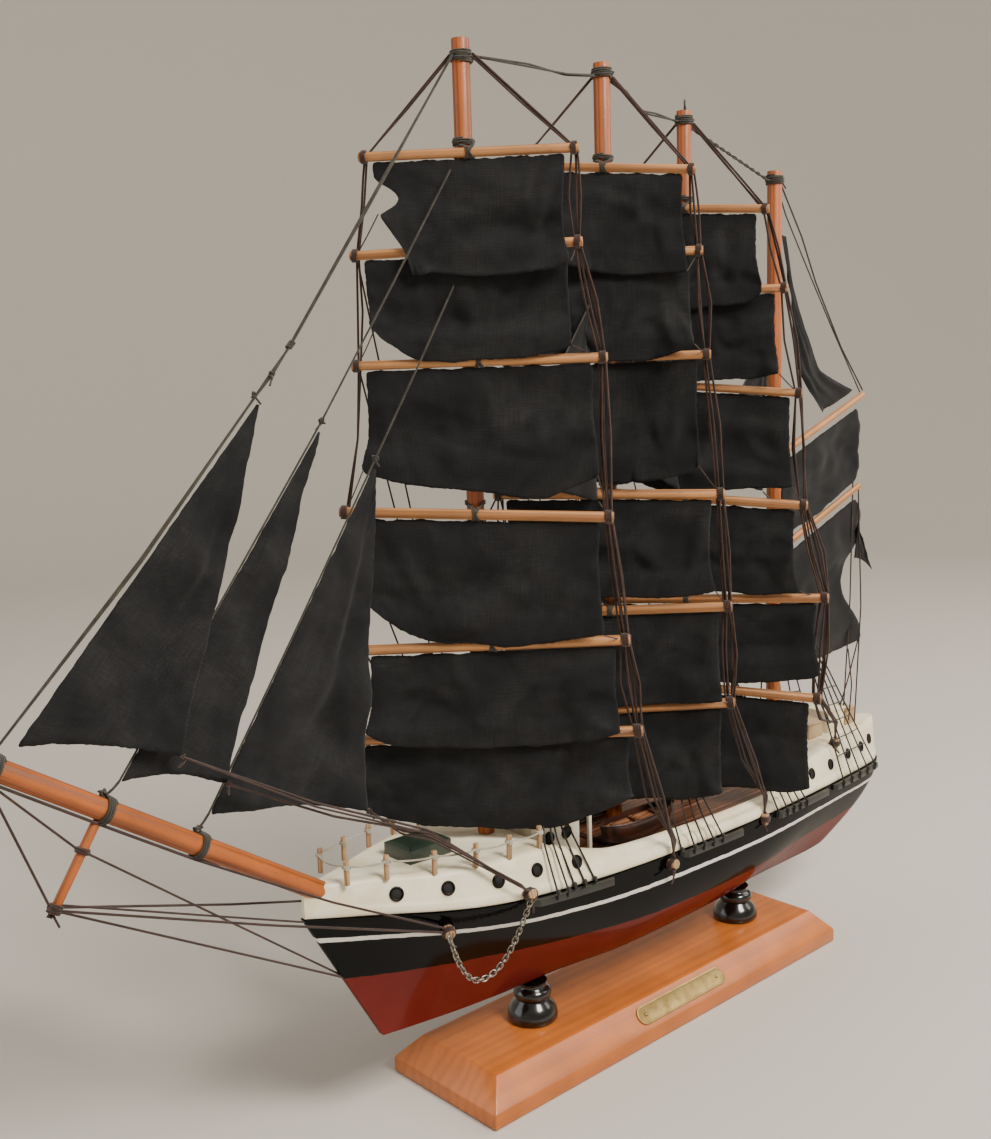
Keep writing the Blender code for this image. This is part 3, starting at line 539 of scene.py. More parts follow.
def halfBlock(columns, rows, place):
    # a sheet of faces shaped as the port side, its rim drawn in to the middle, and mirrored
    bpy.ops.object.select_all(action="DESELECT")
    bpy.ops.mesh.primitive_grid_add(x_subdivisions=columns, y_subdivisions=rows, size=2)
    block = bpy.context.object
    for v in block.data.vertices:
        v.co = Vector(place((v.co.x + 1) / 2, (v.co.y + 1) / 2)) * mm
    editing(block, edges=lambda e: e.is_boundary)
    bpy.ops.mesh.extrude_region_move()
    bpy.ops.transform.resize(value=(1, 0, 1), orient_type="GLOBAL", center_override=(0, 0, 0))
    bpy.ops.mesh.select_all(action="SELECT")
    bpy.ops.mesh.remove_doubles(threshold=1e-6)
    editDone()
    modify(block, "MIRROR", use_axis=(False, True, False), use_clip=True, merge_threshold=1e-5)
    editing(block, faces=lambda f: True)
    bpy.ops.mesh.normals_make_consistent(inside=False)
    editDone()
    return block


def spaced(values, extra):             # the values with more of them between, to place columns of faces
    full = []
    for a, b in zip(values, values[1:]):
        full += [a + (b - a) * i / extra for i in range(extra)]
    return full + [values[-1]]


def makeHull():
    stations = spaced([0, 0.006, 0.02, 0.045, 0.08, 0.13, 0.2, 0.3, 0.42, 0.55, 0.67, 0.77, 0.85, 0.9, 0.94,
                       0.97, 0.988, 1.0], 7)
    levels = spaced([0, 0.06, 0.16, 0.3, 0.45, 0.6, 0.8, 1.0], 6)

    def place(a, b):
        s = stations[round(a * (len(stations) - 1))]
        t = levels[round(b * (len(levels) - 1))]
        return sidePoint(s, t)

    hull = halfBlock(len(stations) - 1, len(levels) - 1, place)
    modify(hull, "BEVEL", width=0.45 * mm, segments=2, limit_method="ANGLE", angle_limit=radians(40))
    paint = hull.data.attributes.new("paint", "FLOAT_VECTOR", "POINT")
    values = []
    for v in hull.data.vertices:
        x, y, z = v.co / mm
        line = sheerAt(x) - readCurve(lines["stripe"], x)
        values.append((z - readCurve(lines["waterline"], x), z - line, 0))
    paint.data.foreach_set("vector", np.array(values, np.float32).ravel())
    finishPiece(hull, "hullBody", hullEnamel, ["hull"], 40)


channels = {"spans": [(57, 106), (-40, 8), (-130, -72), (-205, -138)], "proud": 2.6, "depth": 3.2, "chamfer": 4.0}


def makeChannels():
    c = channels
    boards = []
    for aft, fore in c["spans"]:
        for side in (1, -1):
            length = fore - aft
            bpy.ops.object.select_all(action="DESELECT")
            bpy.ops.mesh.primitive_cube_add(size=1)
            board = bpy.context.object
            board.scale = (length * mm, (c["proud"] + 1.5) * mm, c["depth"] * mm)
            bpy.ops.object.transform_apply(location=True, rotation=True, scale=True)
            editing(board, edges=lambda e: abs(e.verts[0].co.x - e.verts[1].co.x) < 1e-6
                    and min(v.co.y for v in e.verts) > 0 and abs(e.verts[0].co.z - e.verts[1].co.z) > 1e-6)
            bpy.ops.mesh.bevel(offset=2.2 * mm, segments=1, affect="EDGES")     # sawn-off corners
            editDone()
            modify(board, "BEVEL", width=0.3 * mm, segments=2, limit_method="ANGLE", angle_limit=radians(30))
            editing(board, faces=lambda f: True)
            for cut in range(1, 9):
                bpy.ops.mesh.select_all(action="SELECT")
                bpy.ops.mesh.bisect(plane_co=((cut / 9 - 0.5) * length * 0.88 * mm, 0, 0), plane_no=(1, 0, 0))
            editDone()
            for v in board.data.vertices:                                       # bent to the ship's side
                x = v.co.x / mm + (aft + fore) / 2
                y = v.co.y / mm + beamAt(x) + c["proud"] / 2 - 0.75
                v.co = Vector((x, side * y, v.co.z / mm + sheerAt(x) - 0.2 - c["depth"] / 2)) * mm
            if side < 0:
                board.data.flip_normals()
            boards.append(board)
    finishPiece(joinAll(boards), "channelBoards", channelPaint)


upper = {"inset": 0.6, "lip": 1.0, "lipHeight": 4.4, "lean": 2.8, "round": 2.4}


def makeUpperWorks():
    u = upper
    aft, stem = lines["taffrail"], lines["stemHead"]
    marks = [aft, -221, -219, -215, -208, -198, -182, -160, -132, -108, -106, -103.5, -100, -98, -97.3, -90, -60,
             -20, 20, 50, 62, 74, 82, 89.3, 90, 91, 102, 120, 140, 158, 172, 184, 192, 196.5, stem]
    stations = spaced(marks, 4)

    def place(a, b):
        x = stations[round(a * (len(stations) - 1))]
        beam = max(beamAt(x) - u["inset"], 1.0)
        low, high = sheerAt(x) + 0.3, deckAt(x)
        tight = min(1.0, beam / 14)                                             # narrower lips near the ends
        open_ = lines["wellAft"] + 0.3 < x < lines["wellFore"] - 0.3
        rim = beamAt(x) - lines["wellMargin"] if open_ else beam * 0.72
        floor = readCurve(lines["floor"], x) if open_ else high + 0.25 * tight
        drop = 1.0 if open_ else 0.0
        lip = u["lip"] * tight
        wall = beam - lip
        rows = [(beam - 0.5 * tight, low), (beam, low + 0.5), (beam + 0.05, low + 1.6),
                (beam, low + u["lipHeight"] - 1.5), (beam - 0.35 * lip, low + u["lipHeight"] - 0.5),
                (wall + 0.1 * lip, low + u["lipHeight"] + 0.1), (wall - 0.1 * tight, low + u["lipHeight"] + 0.9)]
        base = low + u["lipHeight"] + 0.9
        lean = u["lean"] * tight
        for f in (0.35, 0.7, 1.0):
            rows.append((wall - lean * f, base + max(high - u["round"] - base, 0.2) * f))
        rows += [(wall - lean - 0.5 * tight, high - 1.3), (wall - lean - 1.3 * tight, high - 0.45),
                 (wall - lean - 2.6 * tight, high)]
        inner = wall - lean - 2.6 * tight
        rim = min(rim, inner - 0.6 * tight)
        rows += [(rim + (inner - rim) * 0.5, high + 0.05), (rim + 0.5 * tight, high), (rim + 0.12, high - 0.15 * drop),
                 (rim, high - 0.6 * drop), (rim, floor * 0.5 + high * 0.5), (rim - 0.01, floor), (rim * 0.5, floor),
                 (0.4, floor)]
        y, z = rows[round(b * (len(rows) - 1))]
        end = (2 * (x - aft) / (stem - aft) - 1) * u["inset"]                    # ends stand in like the sides
        return (x - end, y, z)

    works = halfBlock(len(stations) - 1, 20, place)
    finishPiece(works, "upperWorks", creamPaint, ["upper_works"], 50)

    # the stained floor of the waist
    boards = []
    for i in range(9):
        y0 = -28 + i * 6.3
        bpy.ops.object.select_all(action="DESELECT")
        bpy.ops.mesh.primitive_cube_add(size=1)
        plank = bpy.context.object
        plank.scale = (186 * mm, 6.0 * mm, 1.0 * mm)
        bpy.ops.object.transform_apply(location=True, rotation=True, scale=True)
        editing(plank, faces=lambda f: True)
        for cut in range(1, 12):
            bpy.ops.mesh.select_all(action="SELECT")
            bpy.ops.mesh.bisect(plane_co=((cut / 12 - 0.5) * 186 * mm, 0, 0), plane_no=(1, 0, 0))
        editDone()
        modify(plank, "BEVEL", width=0.25 * mm, segments=1, limit_method="ANGLE", angle_limit=radians(40))
        for v in plank.data.vertices:
            x = v.co.x / mm - 4
            v.co = Vector((x, v.co.y / mm + y0 + 3, v.co.z / mm + readCurve(lines["floor"], x) + 0.6)) * mm
        markGrain(plank, seed=i)
        boards.append(plank)
    finishPiece(joinAll(boards), "waistPlanks", deckBrown)


makeHull()
makeChannels()
makeUpperWorks()
print("hull made")



stand = {"length": 260.0, "width": 71.0, "edge": 7.0, "height": 18.1, "chamfer": 10.0, "soften": 0.7,
         "pedestals": {"fore_pedestal": 72.6, "aft_pedestal": -85.7},
         "profile": [(11.4, 0.0), (12.1, 0.9), (12.2, 2.2), (11.9, 4.0), (11.2, 5.9), (9.9, 7.9), (8.4, 9.4),
                     (7.9, 10.2), (8.3, 10.9), (9.0, 12.0), (9.2, 13.2), (8.9, 14.4), (8.0, 15.5), (6.9, 16.2),
                     (6.5, 16.9), (6.6, 17.9), (7.2, 18.9)]}
plate = {"length": 66.0, "width": 9.2, "thick": 0.5, "x": -1.5, "rim": 1.0, "pin": 27.5}


def makeStand():
    s = stand
    bpy.ops.object.select_all(action="DESELECT")
    bpy.ops.mesh.primitive_cube_add(size=1)
    board = bpy.context.object
    board.scale = (s["length"] * mm, s["width"] * mm, s["edge"] * mm)
    board.location = (0, 0, s["edge"] / 2 * mm)
    bpy.ops.object.transform_apply(location=True, rotation=True, scale=True)
    editing(board, faces=lambda f: f.normal.z > 0.9)
    bpy.ops.mesh.extrude_region_move(TRANSFORM_OT_translate={"value": (0, 0, (s["height"] - s["edge"]) * mm)})
    shrink = (1 - 2 * s["chamfer"] / s["length"], 1 - 2 * s["chamfer"] / s["width"], 1)
    bpy.ops.transform.resize(value=shrink, center_override=(0, 0, s["height"] * mm))
    editDone()
    modify(board, "BEVEL", width=s["soften"] * mm, segments=3, limit_method="ANGLE", angle_limit=radians(20))
    markGrain(board, seed=3)
    finishPiece(board, "standBoard", varnishedBoard, ["stand_board"], 30)

    for node, x in s["pedestals"].items():
        low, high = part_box(node)
        rise = (high.z - low.z) / mm / s["profile"][-1][1]
        bpy.ops.object.select_all(action="DESELECT")
        bpy.ops.mesh.primitive_circle_add(vertices=56, radius=s["profile"][0][0] * mm, fill_type="NGON",
                                          location=(x * mm, 0, low.z))
        foot = bpy.context.object
        bpy.ops.object.transform_apply(location=True, rotation=True, scale=True)
        editing(foot, faces=lambda f: True)
        for (r0, h0), (r1, h1) in zip(s["profile"], s["profile"][1:]):
            bpy.ops.mesh.extrude_region_move(TRANSFORM_OT_translate={"value": (0, 0, (h1 - h0) * rise * mm)})
            bpy.ops.transform.resize(value=(r1 / r0, r1 / r0, 1), center_override=(x * mm, 0, 0))
        bpy.ops.mesh.select_all(action="SELECT")
        bpy.ops.mesh.normals_make_consistent(inside=False)
        editDone()
        name = "forePedestal" if x > 0 else "aftPedestal"
        finishPiece(foot, name, blackLacquer, [node], 50)


def makePlate():
    p = plate
    bpy.ops.object.select_all(action="DESELECT")
    bpy.ops.mesh.primitive_cube_add(size=1)
    badge = bpy.context.object
    badge.scale = (p["length"] * mm, p["width"] * mm, p["thick"] * mm)
    bpy.ops.object.transform_apply(location=True, rotation=True, scale=True)
    editing(badge, edges=lambda e: abs(e.verts[0].co.z - e.verts[1].co.z) > 1e-6)
    bpy.ops.mesh.bevel(offset=(p["width"] / 2 - 0.05) * mm, segments=12, affect="EDGES")        # round ends
    editDone()
    editing(badge, faces=lambda f: f.normal.z > 0.9)
    bpy.ops.mesh.inset(thickness=p["rim"] * mm, depth=0)
    bpy.ops.mesh.inset(thickness=0.15 * mm, depth=-0.18 * mm)                                  # sunk field
    editDone()
    modify(badge, "BEVEL", width=0.06 * mm, segments=2, limit_method="ANGLE", angle_limit=radians(50))
    parts = [badge]
    for side in (-1, 1):
        bpy.ops.object.select_all(action="DESELECT")
        bpy.ops.mesh.primitive_uv_sphere_add(segments=20, ring_count=10, radius=0.95 * mm,
                                             location=(side * p["pin"] * mm, 0, 0.1 * mm), scale=(1, 1, 0.6))
        bpy.ops.object.transform_apply(location=True, rotation=True, scale=True)
        parts.append(bpy.context.object)
    badge = joinAll(parts)
    s = stand
    rise = s["height"] - s["edge"]
    slope = sqrt(rise ** 2 + s["chamfer"] ** 2)
    out = Vector((0, rise / slope, s["chamfer"] / slope))
    down = Vector((0, s["chamfer"] / slope, -rise / slope))
    middle = Vector((p["x"], s["width"] / 2 - s["chamfer"] / 2, s["edge"] + rise / 2)) + out * (0.3 + p["thick"] / 2)
    turn = Matrix((Vector((-1, 0, 0)), down, out)).transposed().to_4x4()
    badge.data.transform(Matrix.Translation(middle * mm) @ turn)
    finishPiece(badge, "brassPlate", brass, ["nameplate"], 40)


makeStand()
makePlate()
print("stand made")



deckhouse = {"aft": 54.0, "fore": 85.5, "half": 15.8, "roof": 126.4, "porch": 45.5, "eave": 1.1, "slab": 1.6}
hatch = {"aft": 127.0, "fore": 150.0, "half": 9.0, "top": 125.6, "coaming": 2.0}
poopBoxes = [(-160, -146, -7, 7, 8.5, "tanPaint"), (-181, -165, -8, 8, 12.5, "creamPaint"),
             (-197, -187, -5, 5, 9.0, "tanPaint")]
boat = {"aft": -8.0, "fore": 44.0, "y": 20.0, "halfBeam": 6.2, "depth": 10.5, "skid": 2.6}


def addBox(low, high, soften=0.3):     # a box with eased edges, in millimetres
    bpy.ops.object.select_all(action="DESELECT")
    bpy.ops.mesh.primitive_cube_add(size=1)
    block = bpy.context.object
    block.scale = [(b - a) * mm for a, b in zip(low, high)]
    block.location = [(a + b) / 2 * mm for a, b in zip(low, high)]
    bpy.ops.object.transform_apply(location=True, rotation=True, scale=True)
    modify(block, "BEVEL", width=soften * mm, segments=2, limit_method="ANGLE", angle_limit=radians(40))
    return block


def addRound(centre, along, radius, depth, sides=24, soften=0.15):
    bpy.ops.object.select_all(action="DESELECT")
    bpy.ops.mesh.primitive_cylinder_add(vertices=sides, radius=radius * mm, depth=depth * mm,
                                        location=Vector(centre) * mm,
                                        rotation=Vector(along).to_track_quat("Z", "Y").to_euler())
    stub = bpy.context.object
    bpy.ops.object.transform_apply(location=True, rotation=True, scale=True)
    modify(stub, "BEVEL", width=soften * mm, segments=2, limit_method="ANGLE", angle_limit=radians(50))
    return stub


def addEyelet(radius=3.1):             # a pressed eyelet: rolled flange and a dished bore, facing +Z
    bpy.ops.object.select_all(action="DESELECT")
    bpy.ops.mesh.primitive_circle_add(vertices=28, radius=radius * mm, fill_type="NGON")
    eyelet = bpy.context.object
    editing(eyelet, faces=lambda f: True)
    now = 1.0
    for scale, rise in ((1.0, 0.6), (0.96, 0.22), (0.88, 0.1), (0.76, 0.0), (0.68, -0.16), (0.64, -0.7)):
        bpy.ops.mesh.extrude_region_move(TRANSFORM_OT_translate={"value": (0, 0, rise * mm)})
        bpy.ops.transform.resize(value=(scale / now, scale / now, 1), center_override=(0, 0, 0))
        now = scale
    bpy.ops.mesh.select_all(action="SELECT")
    bpy.ops.mesh.normals_make_consistent(inside=False)
    editDone()
    return eyelet


def facing(place, out):                # a matrix that stands a piece at a place with its +Z along out
    return Matrix.Translation(Vector(place) * mm) @ Vector(out).to_track_quat("Z", "Y").to_matrix().to_4x4()


def makeDeckhouse():
    d = deckhouse
    floor = readCurve(lines["floor"], 70) + 0.3
    walls = addBox((d["aft"], -d["half"], floor), (d["fore"], d["half"], d["roof"]), 0.5)
    roof = addBox((d["porch"] - 1, -d["half"] - d["eave"], d["roof"] - 0.2),
                  (d["fore"] + 0.5, d["half"] + d["eave"], d["roof"] + d["slab"]), 0.6)
    posts = [addBox((d["porch"], y - 0.9, floor - 3), (d["porch"] + 1.9, y + 0.9, d["roof"])) for y in
             (-d["half"] + 0.9, d["half"] - 0.9)]
    frame_ = [addBox((d["aft"] - 0.4, y - 0.7, floor), (d["aft"] + 0.4, y + 0.7, floor + 19)) for y in (-4.6, 4.6)]
    lintel = addBox((d["aft"] - 0.4, -5.3, floor + 18.4), (d["aft"] + 0.4, 5.3, floor + 19.8))
    finishPiece(joinAll([walls, roof, lintel] + posts + frame_), "deckhouseWalls", housePaint,
                ["deckhouse"], 40)
    door = addBox((d["aft"] - 0.25, -4.0, floor + 0.2), (d["aft"] + 0.3, 4.0, floor + 18.4), 0.2)
    markGrain(door, along=(0, 0, 1), seed=5)
    finishPiece(door, "deckhouseDoor", boatWood)


def makeHatch():
    h = hatch
    deck = deckAt(138)
    lid = addBox((h["aft"], -h["half"], deck - 0.3), (h["fore"], h["half"], h["top"]), 0.35)
    editing(lid, faces=lambda f: f.normal.z > 0.9)
    bpy.ops.mesh.inset(thickness=h["coaming"] * mm, depth=0)
    bpy.ops.mesh.inset(thickness=0.4 * mm, depth=0.8 * mm)                      # raised cover
    editDone()
    finishPiece(lid, "hatchCover", hatchPaint, smooth=30)
    paints = {"tanPaint": tanPaint, "creamPaint": creamPaint}
    for i, (aft, fore, low, high, rise, paint) in enumerate(poopBoxes):
        deck = deckAt((aft + fore) / 2)
        box = addBox((aft, low, deck - 0.2), (fore, high, deck + rise), 0.4)
        lid = addBox((aft - 0.7, low - 0.7, deck + rise), (fore + 0.7, high + 0.7, deck + rise + 1.3), 0.35)
        finishPiece(joinAll([box, lid]), "poopBox" + "ABC"[i], paints[paint], smooth=30)


def makeBoats():
    b = boat
    base = readCurve(lines["floor"], 42) + 0.3
    hulls, insides = [], []
    for side in (1, -1):
        bpy.ops.object.select_all(action="DESELECT")
        bpy.ops.mesh.primitive_grid_add(x_subdivisions=32, y_subdivisions=16, size=2)
        hull = bpy.context.object
        for v in hull.data.vertices:                                # a sheet bent up into a double-ended boat
            f, g = v.co.x, v.co.y
            half = b["halfBeam"] * max(0.04, (1 - abs(f) ** 2.6) ** 0.6)
            top = b["depth"] + 1.5 * f * f
            keel = 3.5 * abs(f) ** 3
            lift = abs(g) ** 2.6
            x = (b["aft"] + b["fore"]) / 2 + f * (b["fore"] - b["aft"]) / 2 * (0.9 + 0.1 * lift)
            y = side * b["y"] + half * sin(g * pi / 2 * 0.98)
            v.co = Vector((x, y, base + b["skid"] - 0.8 + keel + (top - keel) * lift)) * mm
        modify(hull, "SOLIDIFY", thickness=0.8 * mm, offset=0)
        wale = []
        for edge in (1, -1):                                        # rubbing strake round the gunwale
            points = []
            for i in range(33):
                f = -1 + i / 16
                half = b["halfBeam"] * max(0.04, (1 - abs(f) ** 2.6) ** 0.6) + 0.2
                points.append(Vector(((b["aft"] + b["fore"]) / 2 + f * (b["fore"] - b["aft"]) / 2,
                                      side * b["y"] + edge * half, base + b["skid"] - 0.9 + b["depth"] + 1.5 * f * f)))
            wale.append(strand("wale", [(points, 0.55)], 6))
        keelBar = addBox((b["aft"] + 5, side * b["y"] - 0.6, base + b["skid"] - 1.6),
                         (b["fore"] - 5, side * b["y"] + 0.6, base + b["skid"] + 0.4), 0.2)
        skid = addBox((b["aft"] + 4, side * b["y"] - b["skid"], base), (b["fore"] - 4, side * b["y"] + b["skid"],
                                                                       base + b["skid"] - 0.6), 0.3)
        hulls += [hull, keelBar, skid] + wale
        for x in (b["aft"] + 12, (b["aft"] + b["fore"]) / 2, b["fore"] - 12):   # thwarts
            insides.append(addBox((x - 1.3, side * b["y"] - 5.4, base + b["skid"] + 7.6),
                                  (x + 1.3, side * b["y"] + 5.4, base + b["skid"] + 8.3), 0.2))
        bpy.ops.object.select_all(action="DESELECT")
        bpy.ops.mesh.primitive_grid_add(x_subdivisions=32, y_subdivisions=8, size=2)
        top = bpy.context.object                                    # the pale wood inside, hollowed a little
        for v in top.data.vertices:
            f, g = v.co.x * 0.97, v.co.y
            half = b["halfBeam"] * max(0.04, (1 - abs(f) ** 2.6) ** 0.6) - 0.5
            z = b["depth"] + 1.5 * f * f - 2.2 - 1.6 * (1 - g * g) * (1 - f * f)
            v.co = Vector(((b["aft"] + b["fore"]) / 2 + f * (b["fore"] - b["aft"]) / 2 * 0.98,
                           side * b["y"] + max(half, 0.1) * g, base + b["skid"] - 0.8 + z)) * mm
        modify(top, "SOLIDIFY", thickness=0.8 * mm, offset=-1)
        insides.append(top)
    for x in (b["aft"] + 9, b["fore"] - 9):
        hulls.append(addBox((x - 1.6, -b["y"], base + 0.3), (x + 1.6, b["y"], base + b["skid"] - 0.5), 0.3))
    boats = joinAll(hulls)
    markGrain(boats, seed=8)
    finishPiece(boats, "boatHulls", boatWood, ["lifeboats"], 40)
    inside = joinAll(insides)
    markGrain(inside, seed=9)
    finishPiece(inside, "boatThwarts", boatInside, smooth=30)


eyelets = {"bow": [(164.5, 114.0), (144.3, 112.9), (121.4, 110.8), (100.6, 110.2), (77.0, 107.4)],
           "poop": [(-116.0, 100.0), (-140.0, 98.8), (-165.5, 98.2), (-185.5, 97.2), (-200.0, 98.0)]}
pegs = [(108.6, 102.5), (18.0, 90.5), (-60.0, 89.5), (-150.0, 106.5), (144.0, 94.5)]


def sideAt(x, z, side):                # the outermost point of the ship's side at that length and height
    found = []
    for name in ("upperWorks", "hullBody", "channelBoards"):
        hit, place, _, _ = bpy.data.objects[name].ray_cast(Vector((x, side * 90, z)) * mm, Vector((0, -side, 0)))
        if hit:
            found.append(place / mm)
    return max(found, key=lambda p: side * p.y) if found else Vector((x, 0, z))


def wallPlace(x, z, side, reach=2.6):  # a place on the side and the way it faces, clear of the wall within reach
    place = sideAt(x, z, side)
    fore, aft, low, high = (sideAt(x + a, z + b, side) for a, b in ((reach, 0), (-reach, 0), (0, -reach), (0, reach)))
    out = (fore - aft).cross(high - low).normalized()
    out = out if out.y * side > 0 else -out
    return place + out * max(0.0, *((p - place).dot(out) for p in (fore, aft, low, high))), out


def makeFittings():
    pattern = addEyelet()
    spots = [wallPlace(x, z, side) for x, z in eyelets["bow"] + eyelets["poop"] for side in (1, -1)]
    spots += [(Vector((x, side * (deckhouse["half"] + 0.1), 112.5)), Vector((0, side, 0)))
              for x in (63.0, 74.3) for side in (1, -1)]             # on the deckhouse walls
    rings = [copyTo(pattern, facing(place - out * 0.1, out)) for place, out in spots]
    # painted shade: a near-black disc in each eyelet's dished bore stands for the dark hole
    boreShadeDiscs = [addRound(place + out * 0.1, out, 2.1, 0.5, 20, 0.02) for place, out in spots]
    bpy.data.objects.remove(pattern)
    finishPiece(joinAll(rings), "eyeletPortholes", eyeletMetal, smooth=40)
    finishPiece(joinAll(boreShadeDiscs), "eyeletBores", boreShadeBlack, smooth=40)

    dowels = []
    for i, (x, z) in enumerate(pegs):
        for side in (1, -1):
            place, out = wallPlace(x, z, side)
            out = (out + Vector((0, 0, 0.18))).normalized()
            peg = addRound(place + out * 1.8, out, 2.3, 5.6, 20, 0.35)
            markGrain(peg, along=out, seed=i + side)
            dowels.append(peg)
    finishPiece(joinAll(dowels), "beltPegs", pegWood, smooth=40)


rail = {"posts": [(183.0, 9.5), (167.0, 15.0), (148.0, 22.6), (130.0, 28.2), (113.0, 30.6), (95.0, 30.8)],
        "radius": 1.2, "height": 10.5, "string": 0.42}


def makeRail():
    r = rail
    posts, routes = [], []
    for side in (1, -1):
        tops = []
        for i, (x, y) in enumerate(r["posts"]):
            base = deckAt(x) - 0.4
            tip = base + r["height"]
            wobble = 0.25 * sin(7.1 * i + 2.0 * side)
            post = addRound((x + wobble, side * y, (base + tip) / 2), (wobble * 0.1, 0, 1), r["radius"],
                            r["height"], 16, 0.2)
            markGrain(post, along=(0, 0, 1), seed=i * 2 + side)
            posts.append(post)
            tops.append(Vector((x + wobble, side * y, tip - 2.2)))
            routes.append((coil(tops[-1] - Vector((0, 0, 0.6)), (0, 0, 1), r["radius"] + 0.35, 1.4, 2.2), r["string"]))
        for a, b in zip(tops, tops[1:]):
            out = Vector((0, side * (r["radius"] + 0.3), 0))
            sag = Vector((0, 0, 0.7))
            routes.append(([a + out, a.lerp(b, 0.3) + out - sag, a.lerp(b, 0.7) + out - sag * 1.1, b + out], r["string"]))
    routes.append(([Vector((184.3, 9.5, 129.6)), Vector((185.6, 3, 128.9)), Vector((185.6, -3, 128.9)),
                    Vector((184.3, -9.5, 129.6))], r["string"]))
    finishPiece(joinAll(posts), "railPosts", pegWood, smooth=40)
    finishPiece(strand("railLine", routes, 6), "railString", railString, smooth=60)



masts = {"fore": (98.5, 461.0, 3.8), "main": (12.8, 462.0, 3.9), "mizzen": (-46.0, 447.0, 3.6),
         "jigger": (-121.0, 424.0, 3.9)}
sprit = {"heel": (186.0, 0.0, 115.5), "tip": (322.0, 0.0, 203.8), "radius": 4.3, "striker": 280.0, "length": 34.0}
tiers = ["course", "lower_topsail", "upper_topsail", "topgallant", "royal", "skysail"]
brace = {"fore": 40.0, "main": 38.0, "mizzen": 32.0}
yards = {
    "fore": [(165.0, 65.5, 2.4, 6.0, 35.5), (206.0, 60.5, 2.2, 6.0, 41.0), (264.0, 59.7, -1.9, 0.5, 52.5),
             (329.1, 54.8, 0.3, 4.0, 49.5), (375.9, 49.3, 1.2, 0.0, 41.5), (414.7, 46.2, -0.4, 2.5, 44.5)],
    "main": [(159.7, 59.5, 4.0, 0.0, 41.0), (208.7, 58.2, 2.1, 0.0, 42.0), (265.0, 54.9, -0.6, 0.0, 45.0),
             (328.9, 48.8, 0.5, 0.0, 54.0), (376.3, 45.5, 0.0, 0.0, 43.0), (415.1, 42.5, -4.0, 0.0, 42.0)],
    "mizzen": [(160.0, 68.0, -3.7, 0.0, 45.0), (205.8, 71.0, 1.4, 0.0, 36.5), (258.0, 60.5, -3.9, 0.0, 42.0),
               (314.1, 58.0, -5.0, 0.0, 47.0), (360.0, 50.5, 0.0, 0.0, 39.5), (400.1, 41.5, -3.4, 0.0, 43.0)],
}
gaffs = {"upper_gaff": [(-126.0, 273.2), (-209.0, 303.3)], "lower_gaff": [(-126.0, 220.3), (-206.3, 249.6)]}


def yardFrame(mast, tier):             # centre, way to port, way forward and radius of one yard
    x, _, mastRadius = masts[mast]
    z, _, tilt, shift, _ = yards[mast][tier]
    angle = radians(brace[mast])
    radius = 2.3 if tier < 3 else 2.0
    forward = Vector((cos(angle), sin(angle), 0))
    level = Vector((-sin(angle), cos(angle), 0))
    port = (level * cos(radians(tilt)) + Vector((0, 0, sin(radians(tilt))))).normalized()
    centre = Vector((x, 0, z)) + forward * (mastRadius + radius + 0.3) + port * shift
    return centre, port, forward, radius


def addSpar(name, node, start, end, radius, material, seed, taper=1.0, sides=32):
    start, end = Vector(start), Vector(end)
    along = (end - start).normalized()
    rod = addRound((start + end) / 2, along, radius, (end - start).length, sides, 0.22)
    for v in rod.data.vertices:                                     # a slight taper and hand-cut waviness
        run = (v.co / mm - start).dot(along)
        centre = start + along * run
        share = run / (end - start).length
        swell = (1 + (taper - 1) * share) * (1 + 0.012 * sin(run * 0.11 + seed))
        v.co = (centre + (v.co / mm - centre) * swell) * mm
    markGrain(rod, along=along, centre=start, seed=seed)
    return finishPiece(rod, name, material, [node], 40)


def camel(text):
    first, *rest = text.split("_")
    return first + "".join(word.capitalize() for word in rest)


def makeSpars():
    for i, (name, (x, top, radius)) in enumerate(masts.items()):
        low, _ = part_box(name + "_mast")
        addSpar(name + "Mast", name + "_mast", (x, 0, low.z / mm), (x, 0, top), radius, varnishedDowel,
                i)
    addSpar("bowspritPole", "bowsprit", sprit["heel"], sprit["tip"], sprit["radius"], varnishedDowel,
            11, 0.94, 40)
    heel = Vector(sprit["heel"])
    along = (Vector(sprit["tip"]) - heel).normalized()
    below = Vector((along.z, 0, -along.x))
    head = heel + along * ((sprit["striker"] - heel.x) / along.x) + below * (sprit["radius"] + 0.3)
    addSpar("strikerStick", "dolphin_striker", head, head + below * sprit["length"], 1.8, varnishedDowel,
            12, 0.95, 20)
    for m, mast in enumerate(yards):
        for tier, title in enumerate(tiers):
            centre, port, forward, radius = yardFrame(mast, tier)
            half = yards[mast][tier][1]
            node = f"{mast}_{title}_yard"
            addSpar(camel(node), node, centre - port * half, centre + port * half, radius, rawDowel,
                    20 + m * 6 + tier, 1.0, 24)
    for i, (node, (throat, peak)) in enumerate(gaffs.items()):
        addSpar(camel(node), node, (throat[0], 0, throat[1]), (peak[0], 0, peak[1]), 2.0, rawDowel,
                50 + i, 0.9, 24)


makeDeckhouse()
makeHatch()
makeBoats()
makeFittings()
makeRail()
makeSpars()
print("deck pieces and spars made")


